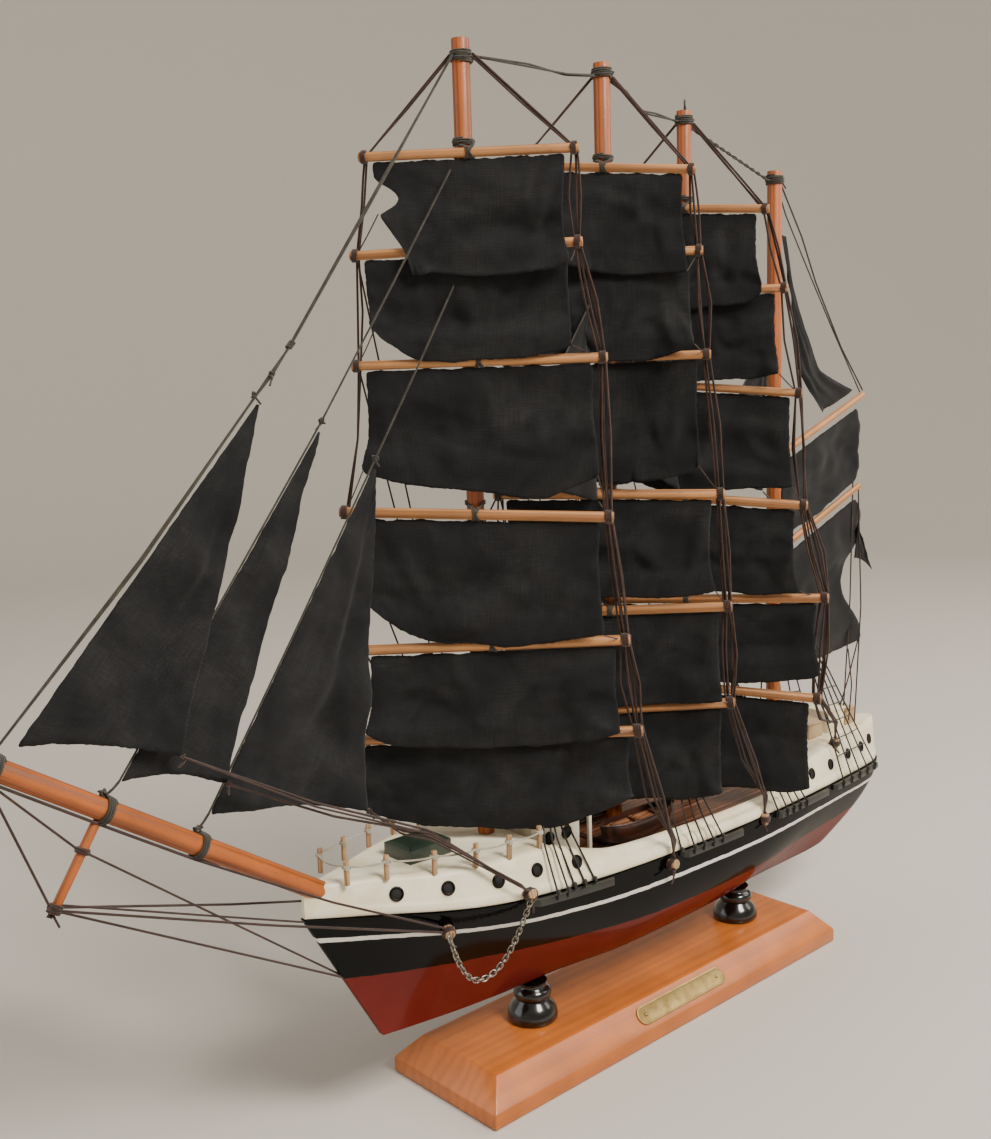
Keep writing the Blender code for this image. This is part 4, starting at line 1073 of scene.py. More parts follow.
square = {"inset": 6.0, "spread": 0.05, "hang": 0.5, "slack": 0.1, "columns": 40, "rows": 18, "reach": 5.5}
corners = {                            # how far each foot corner is pulled in and up: starboard, then port
    ("fore", 5): (11.0, 1.0, 0.0, 0.0), ("fore", 4): (6.0, 13.0, 1.0, 3.0), ("fore", 3): (0.0, 8.0, 1.0, 2.0),
    ("fore", 2): (1.0, 21.0, 1.0, 4.0), ("fore", 1): (1.0, 8.0, 1.0, 7.0), ("fore", 0): (2.0, 9.0, 1.0, 9.0),
    ("main", 5): (2.0, 4.0, 0.0, 0.0), ("main", 4): (2.0, 3.0, 0.0, 4.0), ("main", 3): (3.0, 5.0, 2.0, 5.0),
    ("main", 2): (4.0, 8.0, 1.0, 3.0), ("main", 1): (2.0, 4.0, 1.0, 2.0), ("main", 0): (2.0, 6.0, 2.0, 1.0),
    ("mizzen", 5): (1.0, 3.0, 0.0, 4.0), ("mizzen", 4): (1.0, 3.0, 0.0, 1.0), ("mizzen", 3): (3.0, 5.0, 1.0, 4.0),
    ("mizzen", 2): (2.0, 4.0, 0.0, 2.0), ("mizzen", 1): (2.0, 3.0, 1.0, 1.0), ("mizzen", 0): (3.0, 4.0, 2.0, 4.0),
}
jibs = {                               # head, tack and clew
    "flying_jib": [(204.6, 0.0, 318.0), (308.5, 0.0, 205.6), (252.2, 9.0, 191.1)],
    "outer_jib": [(177.3, 0.0, 306.5), (272.5, 0.0, 184.4), (234.6, 9.0, 176.5)],
    "inner_jib": [(151.7, 0.0, 290.1), (237.8, 0.0, 163.2), (170.6, 9.0, 149.4)],
}
staysails = {
    "foreStaysail": [(25.0, 0.0, 352.0), (84.0, 0.0, 272.0), (24.0, 4.0, 262.0)],
    "mainStaysail": [(-34.0, 0.0, 345.0), (4.0, 0.0, 276.0), (-36.0, 4.0, 262.0)],
    "mizzenStaysail": [(-112.0, 0.0, 335.0), (-54.0, 0.0, 264.0), (-106.0, 4.0, 255.0)],
}
aftSails = {                           # luff from the head down, then leech from the peak down, as x and z
    "gaff_topsail": ([(-127.5, 392.0), (-136.0, 362.8), (-141.0, 325.6), (-168.5, 294.6)],
                     [(-131.5, 391.0), (-145.1, 345.1), (-167.8, 321.4), (-197.0, 306.5)]),
    "upper_spanker": ([(-127.5, 268.0), (-128.0, 254.0), (-128.0, 240.0), (-128.0, 226.4)],
                      [(-203.0, 295.6), (-205.5, 281.0), (-204.5, 266.0), (-200.0, 253.0)]),
    "lower_spanker": ([(-127.5, 215.0), (-128.0, 193.0), (-128.0, 170.0), (-128.5, 148.5)],
                      [(-202.5, 242.4), (-210.0, 231.0), (-205.5, 220.0), (-193.6, 207.5), (-187.4, 192.0),
                       (-200.5, 171.0), (-208.5, 156.0)]),
}
tornStrip = [(-203.9, 2.0, 229.0), (-199.0, 2.0, 207.0), (-214.6, 5.0, 198.0)]   # ripped off the lower spanker
wind = {"strength": 42.0, "swirl": 80.0, "swirlSize": 0.5, "frames": 34, "apart": 2.6, "scale": 0.01,
        "quality": 6}


crease = {"broad": 4.6, "broadSize": 30.0, "sharp": 2.6, "sharpSize": 17.0}


def creaseAt(flat, u, v, square):      # how far the crumples of cloth that was folded up stand out, in mm
    c = crease
    broad = noise.noise(Vector((flat.x * 0.8, flat.y * 1.5, 3.0)) / c["broadSize"])
    slant = Vector((flat.x + 0.7 * flat.y, 1.6 * flat.y - 0.5 * flat.x, 11.0)) / c["sharpSize"]
    sharp = 0.3 - abs(noise.noise(slant))
    side = 1 - abs(u) if square else 1 - u
    held = min(1.0, 4 * v, 4 * sqrt(side ** 2 + (1 - v) ** 2), 1.0 if square else 5 * u)
    return (c["broad"] * broad + c["sharp"] * sharp) * held


def sailPlan(name, node, columns, rows, start, cut, pinned, place, sheet, stands):
    # start and cut give a grid point's hung place and its place on the flat cloth; place takes a hung
    # point into the ship's frame
    return {"name": name, "node": node, "columns": columns, "rows": rows, "start": start, "cut": cut,
            "pinned": pinned, "place": place, "sheet": sheet, "stands": stands}


def squarePlan(mast, tier):
    q = square
    centre, port, forward, radius = yardFrame(mast, tier)
    _, half, _, _, drop = yards[mast][tier]
    half -= q["inset"]
    inS, upS, inP, upP = corners[mast, tier]
    top = -(radius + q["hang"])
    seed = 7.3 * tier + {"fore": 0.0, "main": 2.1, "mizzen": 4.4}[mast]

    def missing(u, v):                 # how much of the starboard edge has worn away
        if (mast, tier) != ("fore", 5) or u > 0:
            return 0.0
        return (10.0 * max(0.0, 1 - ((v - 0.33) / 0.15) ** 2) + 13.0 * max(0.0, v - 0.52) / 0.48) * abs(u) ** 4

    def uneven(u):                     # the foot was cut by hand, so the drop varies
        return drop * (1 + 0.07 * noise.noise(Vector((u * 1.3 + seed, seed, 0))))

    def start(u, v):
        pull, lift = (inP, upP) if u > 0 else (inS, upS)
        edge = abs(u) ** 3
        x = u * (half * (1 + q["spread"] * v) * (1 - 0.03 * sin(pi * v)) - pull * v ** 2) + missing(u, v)
        scallop = 0.5 * sin(9.0 * u + seed) * sin(23.0 * u + seed)
        z = top + scallop * (1 - v) - (uneven(u) - lift * edge * v) * v
        crumple = 12.0 * v * noise.noise(Vector((u * 2.2 + seed, v * 1.4, seed)))
        return Vector((x, 5.0 * v + 8.0 * sin(0.85 * pi * v) * (1 - 0.7 * u * u) + crumple, z))

    def cut(u, v):
        return Vector((u * half * (1 + q["spread"] * v) * (1 + q["slack"] * v) + missing(u, v),
                       -uneven(u) * v * (1 + q["slack"])))

    def place(point):
        low = point.z - top
        back = -1.8 if abs(point.x) < half - 12 else -0.8                       # the mast and braces are behind
        ease = min(1.0, max(0.0, (-low / drop - 0.62) / 0.2))
        limit = back + ease * (radius + 1.0 - back)
        y = limit + 0.5 * (point.y - limit + sqrt((point.y - limit) ** 2 + 0.6))
        return centre + port * point.x + forward * y + Vector((0, 0, point.z))

    pins = {(0, j) for j in range(q["columns"] + 1)} | {(q["rows"], 0), (q["rows"], q["columns"])}
    if (mast, tier) == ("fore", 5):
        pins = (pins | {(round(q["rows"] * 0.52), 0)}) - {(q["rows"], 0)}
    title = tiers[tier]
    node = f"{mast}_{title}_sail"
    return sailPlan(camel(node), node, q["columns"], q["rows"], start, cut, pins, place,
                    {"flat": (2 * half * (1 + q["slack"]) * mm, drop * (1 + q["slack"]) * mm), "held": "hung",
                     "rests_on": [camel(f"{mast}_{title}_yard")]}, [node])


def jibPlan(name, head, tack, clew, node=None, wide=26, long=30, hangs="stays"):
    head, tack, clew = Vector(head), Vector(tack), Vector(clew)
    across, down = (tack - head).length, (clew - head).length
    foot = (clew - tack).length

    def start(u, v):                   # u from the luff to the leech, v from the head to the foot
        v = 0.02 + 0.98 * v
        left, right = head.lerp(tack, v), head.lerp(clew, v)
        point = left.lerp(right, u)
        point.y += 5.0 * sin(pi * u) * sin(pi * v ** 1.3) * foot / 60
        if u > 0:
            point.z += 3.0 * sin(pi * u) * v ** 4                                # hollow foot
        return point

    lean = (down ** 2 + across ** 2 - foot ** 2) / (2 * across)                  # the clew on the flat cloth
    flatClew = Vector((sqrt(max(down ** 2 - lean ** 2, 1.0)), -lean))

    def cut(u, v):
        v = 0.02 + 0.98 * v
        return Vector((0, -across * v)).lerp(flatClew * v, u) * 1.03

    pins = {(i, 0) for i in range(0, long + 1, 2)} | {(0, j) for j in range(wide + 1)}
    pins |= {(long, wide), (long, 0)}
    area = across * flatClew.x / 2 * 1.06
    return sailPlan(camel(name), node, wide, long, start, cut, pins, lambda point: point,
                    {"flat": (flatClew.x * 1.03 * mm, across * 1.03 * mm), "area": area * mm * mm,
                     "held": "hung", "rests_on": [hangs]}, [node] if node else [])


def aftPlan(name, luff, leech, wide=22, long=22):
    span = sum((Vector(b) - Vector(a)).length for a, b in zip(leech, leech[1:]))

    def along(points, v):
        table = [(i / (len(points) - 1), p) for i, p in enumerate(points)]
        return readCurve([(t, p[0]) for t, p in table], v), readCurve([(t, p[1]) for t, p in table], v)

    def start(u, v):
        a, b = Vector(along(luff, v)), Vector(along(leech, v))
        x, z = a.lerp(b, u)
        return Vector((x, 4.0 * sin(pi * u) * sin(pi * v) + 2.0 * sin(5 * v + 4 * u) * u * v, z))

    def cut(u, v):
        x, z = Vector(along(luff, v)).lerp(Vector(along(leech, v)), u)
        return Vector((-x, z)) * 1.05

    pins = {(i, 0) for i in range(0, long + 1, 4)} | {(long, wide), (long, 0)}
    pins |= {(0, j) for j in range(wide + 1)} if name != "gaff_topsail" else {(0, 0), (0, wide)}
    corner = [Vector(p) for p in (luff[0], *leech, luff[3], luff[2], luff[1])]
    area = abs(sum(a.x * b.y - b.x * a.y for a, b in zip(corner, corner[1:] + corner[:1]))) / 2
    width = max(p.x for p in corner) - min(p.x for p in corner)
    height = max(max(p.y for p in corner) - min(p.y for p in corner), area / width)
    if area < 0.34 * width * height:                                             # a narrow, slanting cut
        width = span * 0.28
        height = area / width / 0.8
    return sailPlan(camel(name), name, wide, long, start, cut, pins, lambda point: point,
                    {"flat": (width * mm, height * mm), "area": area * mm * mm, "held": "hung",
                     "rests_on": ["lowerGaff" if name == "lower_spanker" else "upperGaff"]}, [name])


def sailCorner(mast, tier, side):      # where a square sail's foot corner hangs
    plan = squarePlan(mast, tier)
    torn = (mast, tier, side) == ("fore", 5, -1)
    return plan["place"](plan["start"](side, 0.5 if torn else 1.0))


def simulate(plans):
    # every sail hangs in one cloth object, side by side and ten times its size; returns each one's points
    w = wind
    verts, faces, flats, pins = [], [], [], []
    for k, plan in enumerate(plans):
        first = len(verts)
        wide, long = plan["columns"], plan["rows"]
        for i in range(long + 1):
            for j in range(wide + 1):
                u = j / wide * 2 - 1 if plan["name"] in squareNames else j / wide
                v = i / long
                flat = plan["cut"](u, v) * w["scale"]
                verts.append(plan["start"](u, v) * w["scale"] + Vector((k * w["apart"], 0, 0)))
                flats.append(Vector((flat.x + k * w["apart"], 0, flat.y)))
                if (i, j) in plan["pinned"]:
                    pins.append(first + i * (wide + 1) + j)
        for i in range(long):
            for j in range(wide):
                a = first + i * (wide + 1) + j
                faces.append((a, a + wide + 1, a + wide + 2, a + 1))
    mesh = bpy.data.meshes.new("sailLoft")
    mesh.from_pydata(verts, [], faces)
    loft = bpy.data.objects.new("sailLoft", mesh)
    bpy.context.collection.objects.link(loft)
    loft.shape_key_add(name="hung")
    rest = loft.shape_key_add(name="cut", from_mix=False)
    rest.data.foreach_set("co", np.array(flats, np.float32).ravel())
    group = loft.vertex_groups.new(name="laced")
    group.add(pins, 1.0, "REPLACE")
    cloth = loft.modifiers.new("cloth", "CLOTH")
    c = cloth.settings
    c.quality = w["quality"]
    c.mass = 0.25
    c.tension_stiffness = 18.0
    c.compression_stiffness = 4.0
    c.shear_stiffness = 2.0
    c.bending_stiffness = 0.15
    c.air_damping = 3.0
    c.vertex_group_mass = "laced"
    c.rest_shape_key = rest
    cloth.point_cache.frame_start = 1
    cloth.point_cache.frame_end = w["frames"]
    bpy.ops.object.select_all(action="DESELECT")
    bpy.ops.object.effector_add(type="WIND", location=(0, -20, 0), rotation=(-pi / 2, 0, 0))   # blows along +Y
    blower = bpy.context.object
    blower.field.strength = w["strength"]
    bpy.ops.object.effector_add(type="TURBULENCE", location=(0, 0, 0))
    swirl = bpy.context.object
    swirl.field.strength = w["swirl"]
    swirl.field.size = w["swirlSize"]
    swirl.field.flow = 0.0
    swirl.field.noise = 0.0
    for number in range(1, w["frames"] + 1):
        bpy.context.scene.frame_set(number)
    blown = bpy.data.meshes.new_from_object(loft.evaluated_get(bpy.context.evaluated_depsgraph_get()))
    points = [v.co.copy() for v in blown.vertices]
    bpy.context.scene.frame_set(1)
    for thing in (blower, swirl, loft):
        bpy.data.objects.remove(thing)
    return points


def makeSails():
    plans = [squarePlan(mast, tier) for mast in yards for tier in range(6)]
    squareNames.update(plan["name"] for plan in plans)
    plans += [jibPlan(name, *three, node=name) for name, three in jibs.items()]
    plans += [jibPlan(name, *three, wide=16, long=20) for name, three in staysails.items()]
    plans += [aftPlan(name, *edges) for name, edges in aftSails.items()]
    plans += [jibPlan("spankerStrip", *tornStrip, wide=8, long=12, hangs="lowerSpanker")]
    points = simulate(plans)
    first = 0
    for k, plan in enumerate(plans):
        wide, long = plan["columns"], plan["rows"]
        count = (wide + 1) * (long + 1)
        isSquare = plan["name"] in squareNames
        low = -1 if isSquare else 0
        grid = [(low + j / wide * (1 - low), i / long) for i in range(long + 1) for j in range(wide + 1)]
        flat = [plan["cut"](u, v) + Vector((k * 137.0, k * 61.0)) for u, v in grid]
        verts = []
        for p, lies, (u, v) in zip(points[first:first + count], flat, grid):
            point = (p - Vector((k * wind["apart"], 0, 0))) / wind["scale"]
            point.y += creaseAt(lies, u, v, isSquare)
            verts.append(plan["place"](point) * mm)
        first += count
        faces = [(a, a + wide + 1, a + wide + 2, a + 1) for i in range(long) for a in
                 range(i * (wide + 1), i * (wide + 1) + wide)]
        mesh = bpy.data.meshes.new(plan["name"])
        mesh.from_pydata(verts, [], faces)
        layer = mesh.uv_layers.new(name="cut")
        layer.data.foreach_set("uv", np.array([flat[loop.vertex_index] for loop in mesh.loops],
                                              np.float32).ravel())
        sail = bpy.data.objects.new(plan["name"], mesh)
        bpy.context.collection.objects.link(sail)
        modify(sail, "SUBSURF", levels=1, render_levels=1)
        ragged(sail, k)
        modify(sail, "SOLIDIFY", thickness=0.3 * mm, offset=0.0, use_even_offset=False)
        finishPiece(sail, plan["name"], sailCotton, plan["stands"], 180)


def ragged(sail, seed):                # frays the free edges: every edge point moves a little in the cloth's plane
    shape = bmesh.new()
    shape.from_mesh(sail.data)
    for v in shape.verts:
        if v.is_boundary:
            inward = Vector((0, 0, 0))
            for edge in v.link_edges:
                if not edge.is_boundary:
                    inward += (edge.other_vert(v).co - v.co).normalized()
            wobble = noise.noise(v.co * 700 + Vector((seed, 0, 0))) * 0.5 + noise.noise(v.co * 150) * 0.4
            v.co += inward * (wobble * 0.8 * mm)
    shape.to_mesh(sail.data)
    shape.free()


squareNames = set()
makeSails()
print("sails made")


rig = {"thread": 0.42, "brace": 0.52, "stay": 0.5, "lash": 0.45, "band": 0.4}


def lashing(centre, axis, radius, height, turns, seed=0.0):     # thread wound on a spar, with two crossing turns over it
    axis = Vector(axis).normalized()
    routes = [(coil(centre, axis, radius + rig["lash"], height, turns, seed), rig["lash"])]
    for lean in (0.35, -0.35):
        side = axis.orthogonal().normalized()
        tilted = (axis + side * lean * height / radius / 2).normalized()
        routes.append((coil(centre, tilted, radius + rig["lash"] * 1.9, 0.0, 1.0, seed + lean), rig["lash"] * 0.8))
    return routes


def knot(centre, size, seed):          # a small tangled lump with a short tail
    centre = Vector(centre)
    loops = []
    for i in range(10):
        angle = 2.4 * i + seed
        loops.append(centre + Vector((cos(angle), sin(angle * 1.3), sin(angle * 0.8 + seed))) * size)
    tail = centre + Vector((cos(seed), sin(seed), -1.4)) * size * 2.6
    return [(loops + [tail], rig["lash"])]


def armPlace(mast, tier, side):        # where the brace passes behind a yard arm
    centre, port, forward, radius = yardFrame(mast, tier)
    return centre + port * side * (yards[mast][tier][1] - 2.2) - forward * (radius + 0.9)


def along(points, share):              # a place part of the way down a list of points
    lengths = [(b - a).length for a, b in zip(points, points[1:])]
    run = share * sum(lengths)
    for a, b, length in zip(points, points[1:], lengths):
        if run <= length:
            return a.lerp(b, run / length)
        run -= length
    return points[-1]


def makeStays():
    routes = []
    top = {name: Vector((x, 0, height)) for name, (x, height, _) in masts.items()}

    def twin(points, gap, radius=rig["stay"]):      # two threads laid side by side, wandering a little
        for k in (-1, 1):
            line = []
            for i, p in enumerate(points):
                away = gap * (1.0 if 0 < i < len(points) - 1 else 0.5)
                line.append(Vector(p) + Vector((0, k * away * cos(1.7 * i), k * away * sin(1.7 * i))))
            routes.append((line, radius))

    fore, main, mizzen, jigger = top["fore"], top["main"], top["mizzen"], top["jigger"]
    twin([fore + Vector((-4, 0, -6)), (60, 0.4, 455.2), (36, -0.3, 454.4), main + Vector((4.2, 0, -6))], 0.55)
    twin([main + Vector((-4, 0, -6.5)), (-4, 0.5, 450.5), (-13.5, 0, 443.8), (-26, -0.4, 443.2),
          mizzen + Vector((3.9, 0, -5.5))], 0.7)
    line = [mizzen + Vector((-4, 0, -7)), jigger + Vector((4.3, 0, -5.5))]
    for k in (0.0, pi):                             # a pair twisted together
        turns = [line[0].lerp(line[1], i / 60) + Vector((0, cos(i * 0.7 + k), sin(i * 0.7 + k))) * 0.5
                 for i in range(61)]
        routes.append((turns, rig["thread"]))
    peak = Vector((gaffs["upper_gaff"][1][0], 0, gaffs["upper_gaff"][1][1] + 2.6))
    routes.append(([jigger + Vector((-3.5, 1.2, -6)), (-145, 0.8, 391), (-160, 0, 367), (-186, 0, 331), peak],
                   rig["stay"]))
    routes.append(([jigger + Vector((-3.5, -1.2, -6)), (-133, -1.2, 402), (-152, -1.0, 376), (-178, -0.6, 341),
                    peak + Vector((3, 0, -1))], rig["thread"]))
    tip = Vector(sprit["tip"])
    way = (tip - Vector(sprit["heel"])).normalized()
    twin([fore + Vector((3.8, 0, -6)), (150, 0, 391), (190, 0, 337.5), (199, 0, 327), (207, 0, 318.6),
          (258, 0, 263), tip - way * 6 + Vector((0, 0, 4.4))], 0.5)
    routes.extend((coil((190, 0, 337.5), (0.7, 0, -0.72), 1.0, 3.4, 4), rig["thread"]) for _ in (0,))
    routes.extend(knot((199.5, 0.4, 326.6), 1.1, 0.7) + knot((207.5, 0.2, 319.4), 1.0, 2.1))
    for head, joint, start in ((jibs["outer_jib"][0], jibs["outer_jib"][1], 414.0),
                               (jibs["inner_jib"][0], jibs["inner_jib"][1], 368.0)):
        head, joint = Vector(head), Vector(joint)
        routes.append(([Vector((102.4, 0.4, start)), head.lerp(Vector((102.4, 0, start)), 0.5), head + Vector((0.6, 0, 0.8)),
                        head.lerp(joint, 0.5) + Vector((0.3, 0, 0.4)), joint + Vector((0.3, 0, 0.6))], rig["thread"]))
        routes += knot(head + Vector((0, 0, 1.6)), 1.0, start)
        hitch = Vector(sprit["heel"]) + (Vector(sprit["tip"]) - Vector(sprit["heel"])) * (
            (joint.x + 6 - sprit["heel"][0]) / (sprit["tip"][0] - sprit["heel"][0])) + Vector((0, 0, 5.6))
        routes.append(([joint + Vector((0.3, 0, 0.6)), joint.lerp(hitch, 0.5), hitch], rig["stay"]))
        routes += lashing((98.5, 0, start), (0, 0, 1), masts["fore"][2], 1.4, 2)
    for name, (head, tack, clew) in staysails.items():                            # what the staysails hang on
        head, tack = Vector(head), Vector(tack)
        way2 = (head - tack).normalized()
        mast = {"foreStaysail": "fore", "mainStaysail": "main", "mizzenStaysail": "mizzen"}[name]
        behind = {"foreStaysail": "main", "mainStaysail": "mizzen", "mizzenStaysail": "jigger"}[name]
        down = tack - way2 * ((masts[mast][0] - 4.2 - tack.x) / -way2.x if way2.x else 0)
        up = head + way2 * ((masts[behind][0] + 4.2 - head.x) / way2.x)
        routes.append(([up, head, tack, Vector((masts[mast][0] - 4.0, 0, down.z))], rig["thread"]))
        clewEnd = Vector((masts[behind][0] + 4.2, 0.6, clew[2] - 5))
        routes.append(([Vector(clew), clewEnd], rig["thread"]))
    return routes


def makeBraces():
    routes = []
    ends = {("fore", 1): pegs[1], ("fore", -1): (62.0, 93.5), ("main", 1): pegs[2], ("main", -1): (-6.0, 92.5),
            ("mizzen", 1): pegs[3], ("mizzen", -1): (-104.0, 92.0)}
    for m, mast in enumerate(yards):
        x, height, radius = masts[mast]
        _, port, forward, _ = yardFrame(mast, 5)
        for side in (1, -1):
            arms = [armPlace(mast, tier, side) for tier in (5, 4, 3, 2, 1, 0)]
            place, out = wallPlace(*ends[mast, side], side)
            peg = place + out * 2.2
            head = Vector((x, 0, height - 6)) + port * side * (radius + 0.8)
            starts = [-1, -1, 0, 1, 2, 3, 4] if side > 0 else [-1, 0]
            for k, first in enumerate(starts):
                angle = 2.4 * k + m
                aside = port * (1.9 * sin(angle)) - forward * (0.4 + 0.4 * cos(angle))
                line = [head + aside * 0.3] if first < 0 else []
                for i in range(max(first, 0), 6):
                    line.append(arms[i] + aside * (0.6 + 0.12 * i))
                    nxt = arms[i + 1] if i < 5 else peg
                    wander = 3.4 * noise.noise(Vector((k * 3.1, i * 1.7, m + side)))
                    spread = aside * (1.2 + 0.2 * i) + port * wander
                    line.append(arms[i].lerp(nxt, 0.5) + spread - forward * (0.4 + 0.5 * abs(wander)))
                line.append(peg + Vector((0.45 * k - 1.3, side * 0.6, 12.0)))
                line.append(peg + out * (0.3 * k - 0.6) + Vector((0, 0, 2.9)))
                line.append(peg + out * (0.3 * k - 0.6) + Vector((-1.6, side * 0.4, 0.4)))
                routes.append((line, rig["brace"]))
            if side < 0:
                for i in (1, 2, 3, 4):                          # the slack threads that fan to the starboard peg
                    sag = Vector((0, 0, -2.0 * i))
                    routes.append(([arms[i], arms[i].lerp(peg, 0.5) + sag, peg + Vector((0, 0, 2.6))], rig["thread"]))
            routes += [(coil(peg, out, 2.3 + rig["lash"], 2.8, 4, m), rig["lash"])]
            routes += knot(peg + out * 1.5 + Vector((1.5, 0, -3.2)), 1.2, m + 0.4 * side)
            for i, tier in enumerate((5, 4, 3, 2, 1, 0)):
                centre, port2, forward2, yardRadius = yardFrame(mast, tier)
                spot = centre + port2 * side * (yards[mast][tier][1] - 2.2)
                routes.append((coil(spot, port2, yardRadius + rig["lash"], 2.0 + 0.25 * i, 4, 0.7 * i), rig["lash"]))
                if side > 0:
                    bundle = arms[i] - forward2 * 0.2
                    routes.append((coil(bundle, (0, 0, 1), 1.7 + 0.14 * i, 3.0, 4, i), rig["lash"]))
            for tier in range(1, 6):                            # each foot corner is tied to the yard below
                corner = sailCorner(mast, tier, side)
                lower = armPlace(mast, tier - 1, side) + yardFrame(mast, tier - 1)[2] * 1.2
                routes.append(([corner, corner.lerp(lower, 0.5) + Vector((0, 0, -0.4)), lower], 0.3))
            lift = Vector((x, 0, height - 7)) + port * side * (radius + 0.6)
            routes.append(([lift, lift.lerp(arms[0], 0.5) + Vector((0, 0, -0.6)), arms[0] + forward * 1.0], rig["thread"]))
    return routes


def makeLashings():
    routes = []
    for m, (mast, (x, height, radius)) in enumerate(masts.items()):
        centre = Vector((x, 0, height - (7.0 if mast == "fore" else 4.5)))
        routes += lashing(centre, (0, 0, 1), radius, 4.6, 5.5, m)
        routes += knot(centre + Vector((-radius - 0.6, radius * 0.4, 0)), 1.1, m)
    routes.append(([Vector((-46, 1.5, 446)), Vector((-45, 1.2, 450.6)), Vector((-47.5, -0.6, 452)),
                    Vector((-48, -1.4, 446.5))], rig["lash"]))
    for mast in yards:
        x, _, mastRadius = masts[mast]
        for tier in range(6):
            centre, port, forward, radius = yardFrame(mast, tier)
            level = Vector((-forward.y, forward.x, 0))
            spine = Vector((x, 0, centre.z))
            up = Vector((0, 0, 1))
            for side in (1, -1):
                for k in (0, 1):                                    # a band over the yard and round the mast
                    high = up * (radius + 1.9 + k * 0.95)
                    shift = level * (0.9 * k)
                    round_ = mastRadius + 0.45
                    routes.append(([
                        spine + high - forward * round_, spine + high + (level * side - forward * 0.75) * round_ * 0.8,
                        spine + high + level * side * round_ + forward * 1.0,
                        centre + up * (radius + 0.5) + level * side * 1.3 + shift, centre + forward * (radius + 0.5) + shift,
                        centre - up * (radius + 0.4) - level * side * 1.3 + shift,
                        spine - high - level * side * round_ + forward * 1.0,
                        spine - high - (level * side + forward * 0.75) * round_ * 0.8,
                        spine - high - forward * round_], rig["band"]))
            if tier == 5:
                routes += lashing(spine + up * (radius + 3.2), up, mastRadius, 2.4, 3)
    heel, tip = Vector(sprit["heel"]), Vector(sprit["tip"])
    way = (tip - heel).normalized()
    for x in (279.0, 243.0):
        spot = heel + way * ((x - heel.x) / way.x)
        routes += lashing(spot, way, sprit["radius"], 3.6, 4.5)
        routes += knot(spot + Vector((0, 0, sprit["radius"] + 1.6)), 1.4, x)
    routes += lashing(tip - way * 6, way, sprit["radius"], 3.6, 4.5)
    routes += knot(tip - way * 6 + Vector((0, 0, sprit["radius"] + 1.4)), 1.3, 5)
    return routes


def makeBobstays():
    routes = []
    heel, tip = Vector(sprit["heel"]), Vector(sprit["tip"])
    way = (tip - heel).normalized()
    below = Vector((way.z, 0, -way.x))
    head = heel + way * ((sprit["striker"] - heel.x) / way.x) + below * (sprit["radius"] + 0.3)
    end = head + below * (sprit["length"] - 1.6)
    middle = head + below * 11.0
    stem = Vector((179.5, 0, 77.0))
    low, out = wallPlace(pegs[4][0], pegs[4][1], 1)
    low = low + out * 2.4
    under = tip - way * 6 + below * (sprit["radius"] + 0.5)
    routes.append(([under, end + way * 1.9, end + below * 0.6 + way, stem + Vector((0.6, 0.7, 0))], rig["stay"]))
    routes.append(([under + Vector((0, 0.8, 0)), middle + way * 2.2, middle + Vector((0, 2.2, 0)),
                    stem + Vector((0.8, -0.7, 0.4))], rig["stay"]))
    routes.append(([end + Vector((0, 2.0, 0)), end.lerp(low, 0.5) + Vector((0, 1.0, -1.0)), low], rig["stay"]))
    mirror = Vector((low.x, -low.y, low.z))
    routes.append(([end + Vector((0, -2.0, 0)), end.lerp(mirror, 0.5) + Vector((0, -1.0, -1.0)), mirror], rig["stay"]))
    routes.append(([end + Vector((-1.2, 0.8, 1.4)), Vector((200, 0.6, 108.2)), Vector((188, 0.4, 111.0))], rig["thread"]))
    first = heel + way * ((279.0 - heel.x) / way.x) + below * (sprit["radius"] + 0.9)
    second = heel + way * ((243.0 - heel.x) / way.x) + below * (sprit["radius"] + 0.9)
    for side, peg in ((1, low), (-1, mirror)):
        aside = Vector((0, side * 1.6, 0))
        routes.append(([under + aside, first + aside, second + aside, second.lerp(peg, 0.5) + Vector((0, side * 3, -1)),
                        peg + Vector((0, 0, 1.6))], rig["stay"]))
        routes.append((coil(peg, (out.x, side * out.y, out.z), 2.3 + rig["lash"], 2.6, 4, side), rig["lash"]))
        routes += knot(peg + Vector((0, side * 0.8, -2.9)), 1.1, 3.0 * side)
    routes += lashing(end, below, 1.8, 3.4, 5) + lashing(middle, below, 1.8, 2.2, 3)
    routes += knot(end + below * 1.6 + way * 0.5, 1.3, 1.9)
    routes.append((coil(stem + Vector((-0.2, 0, 0)), (1, 0, 0.25), 1.0, 1.8, 3), rig["lash"]))
    return routes


